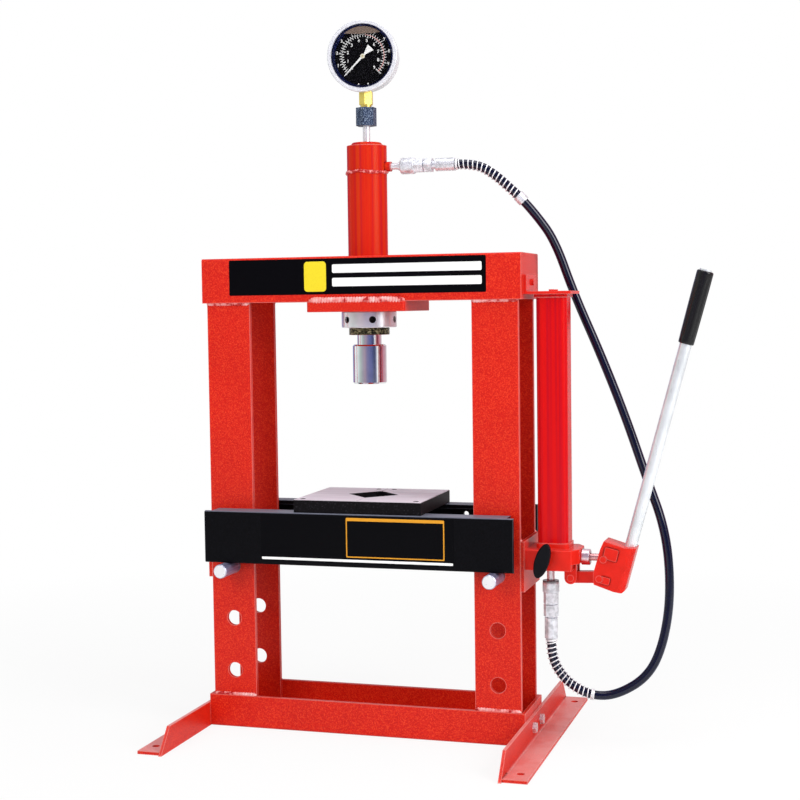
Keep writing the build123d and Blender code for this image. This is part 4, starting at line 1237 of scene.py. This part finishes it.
FILM = 0.15 * MM
PANEL_BODIES = {"upper_beam": "frame", "bed_front_channel": "bed"}
PANELS = [
    # name, node, from its left end in mm, from its foot in mm, corner in mm, layer, ink, slot
    ("beam_panel", "upper_beam", (43, 423), (10.5, 61), 2, 1, LABEL_BLACK, "black_paint"),
    ("beam_panel_block", "upper_beam", (158, 191), (14.5, 57), 5, 2, YELLOW_INK, "brass"),
    ("beam_panel_bar_upper", "upper_beam", (200, 417), (40.5, 52.5), 2, 2, WHITE_INK, "white_paint"),
    ("beam_panel_bar_lower", "upper_beam", (200, 417), (21.5, 33.5), 2, 2, WHITE_INK, "white_paint"),
    ("bed_panel", "bed_front_channel", (87, 372), (6.4, 71.4), 1, 1, LABEL_BLACK, "black_paint"),
    ("bed_panel_frame", "bed_front_channel", (215.5, 358.5), (14.4, 70.4), 1.5, 2, ORANGE_INK, "brass"),
    ("bed_panel_field", "bed_front_channel", (217.2, 356.8), (16.1, 65.9), 1, 3, LABEL_BLACK, "black_paint"),
    ("bed_panel_edge", "bed_front_channel", (88.5, 370.5), (7.9, 11.4), 0.5, 2, WHITE_INK, "white_paint"),
]


def panels():
    """Plain rounded films on the fronts of the beam and the bed, laid one over the other."""
    for name, node, (left, right), (foot, top), corner, layer, ink, slot in PANELS:
        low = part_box(node)[0]
        outline = rounded_outline((right - left) * MM, (top - foot) * MM, corner * MM)
        outline += [low[0] + (left + right) / 2 * MM, low[2] + (foot + top) / 2 * MM]
        front = np.insert(outline, 1, low[1] - layer * FILM, axis=1)
        slab(name, front + FILM * AXIS_Y, front, ink, PANEL_BODIES[node])


# ---------------------------------------------------------------- stage and light

STUDIO_BANDS = [
    # bearing in degrees, colour
    (-180, (0.86, 0.90, 0.90)), (-165, (0.80, 0.86, 0.86)), (-138, (0.42, 0.50, 0.47)),
    (-122, (0.38, 0.36, 0.42)), (-106, (0.40, 0.30, 0.38)), (-90, (0.22, 0.20, 0.36)),
    (-72, (0.15, 0.16, 0.36)), (-56, (0.10, 0.12, 0.30)), (-40, (0.03, 0.04, 0.12)),
    (-28, (0.20, 0.22, 0.35)), (-20, (1.0, 1.0, 1.0)), (-10, (1.0, 1.0, 1.0)),
    (2, (0.16, 0.05, 0.10)), (14, (0.30, 0.10, 0.16)), (30, (0.55, 0.22, 0.28)),
    (60, (0.60, 0.40, 0.44)), (90, (0.80, 0.74, 0.76)), (120, (0.50, 0.50, 0.58)),
    (140, (0.16, 0.16, 0.42)), (152, (0.30, 0.30, 0.50)), (166, (0.90, 0.92, 0.92)),
    (180, (0.86, 0.90, 0.90)),
]
FLOOR_SEEN = 0.85
FLOOR_MIRRORED = 0.25
FLOOR_HALF = 6.0
FLOOR_DROP = 0.3 * MM
FLOOR_FADE = (0.5, 1.5)
WORLD_STRENGTH = 0.4
AIM = (0, 0, 0.5)
LIGHTS = [
    # name, place, width and height, power in watts, shown in mirrors
    ("right_light", (2.2, -0.9, 1.5), (1.2, 1.6), 42, True),
    ("front_light", (-0.9, -2.6, 1.6), (1.6, 1.6), 32, False),
    ("top_light", (0.2, -0.2, 2.6), (1.6, 1.2), 22, True),
]


def light_path_value(tree, *outputs):
    """One for the kinds of ray named, else zero."""
    path = tree.nodes.new("ShaderNodeLightPath")
    total = path.outputs[outputs[0]]
    for output in outputs[1:]:
        total = worked(tree, "MAXIMUM", total, path.outputs[output])
    return total


def studio_bands(tree):
    """Colour of the room round the object as a mirror shows it: soft bright and dark upright bands."""
    place = tree.nodes.new("ShaderNodeTexCoord").outputs["Generated"]
    bearing = worked(tree, "ARCTAN2", part_of(tree, place, "Y"), part_of(tree, place, "X"))
    share = spread(tree, bearing, 0.0, 1.0, -math.pi, math.pi)
    return ramp(tree, share, [((degrees + 180) / 360, colour) for degrees, colour in STUDIO_BANDS])


def world_light():
    """Even white surroundings, full white where they are seen, banded where they are mirrored."""
    world = bpy.data.worlds.new("studio")
    world.use_nodes = True
    tree = world.node_tree
    background = tree.nodes["Background"]
    mirrored = light_path_value(tree, "Is Glossy Ray")
    colour = mixed(tree, mirrored, (1, 1, 1), studio_bands(tree))
    tree.links.new(colour, background.inputs["Color"])
    seen = light_path_value(tree, "Is Camera Ray", "Is Glossy Ray", "Is Transmission Ray")
    tree.links.new(mixed(tree, seen, WORLD_STRENGTH, 1.0, kind="FLOAT"), background.inputs["Strength"])
    bpy.context.scene.world = world


def floor():
    """Pale floor that keeps a soft shadow and is white where it is seen far out."""
    def glow_share(tree):
        place = tree.nodes.new("ShaderNodeTexCoord")
        reach = tree.nodes.new("ShaderNodeVectorMath")
        reach.operation = "LENGTH"
        tree.links.new(place.outputs["Object"], reach.inputs[0])
        away = spread(tree, reach.outputs["Value"], FLOOR_SEEN, 1.0, *FLOOR_FADE)
        mirrored = mixed(tree, light_path_value(tree, "Is Glossy Ray"), 0.0, FLOOR_MIRRORED, kind="FLOAT")
        seen = light_path_value(tree, "Is Camera Ray", "Is Transmission Ray")
        return mixed(tree, seen, mirrored, away, kind="FLOAT")
    material, matt, glow = shader_mix("floor", glow_share, "ShaderNodeBsdfDiffuse", "ShaderNodeEmission")
    matt.inputs["Color"].default_value = (0.9, 0.9, 0.9, 1)
    glow.inputs["Color"].default_value = (1, 1, 1, 1)
    mesh = bpy.data.meshes.new("floor")
    corners = [(x * FLOOR_HALF, y * FLOOR_HALF, -FLOOR_DROP) for x, y in ((-1, -1), (1, -1), (1, 1), (-1, 1))]
    mesh.from_pydata(corners, [], [(0, 1, 2, 3)])
    mesh.materials.append(material)
    linked("floor", mesh)


def area_light(name, place, size, power, mirrored):
    """Soft rectangular light aimed at the middle of the press, shown in mirrors or not."""
    data = bpy.data.lights.new(name, "AREA")
    data.shape = "RECTANGLE"
    data.size, data.size_y = size
    data.energy = power
    light = linked(name, data)
    light.location = place
    light.visible_glossy = mirrored
    light.rotation_euler = (Vector(AIM) - Vector(place)).to_track_quat("-Z", "Y").to_euler()


def lights():
    """Strong soft light from the right, a gentler one from the front left and one above."""
    world_light()
    for light in LIGHTS:
        area_light(*light)


# ---------------------------------------------------------------- making

place_camera()
hose()
dress_nodes()
couplers()
packing_nut()
handle_grip()
gauge_details()
cylinder_thread()
return_coil()
spanner_holes()
cylinder_weld()
frame_welds()
panels()
floor()
lights()

bpy.context.scene.view_settings.view_transform = "Standard"
bpy.context.view_layer.update()
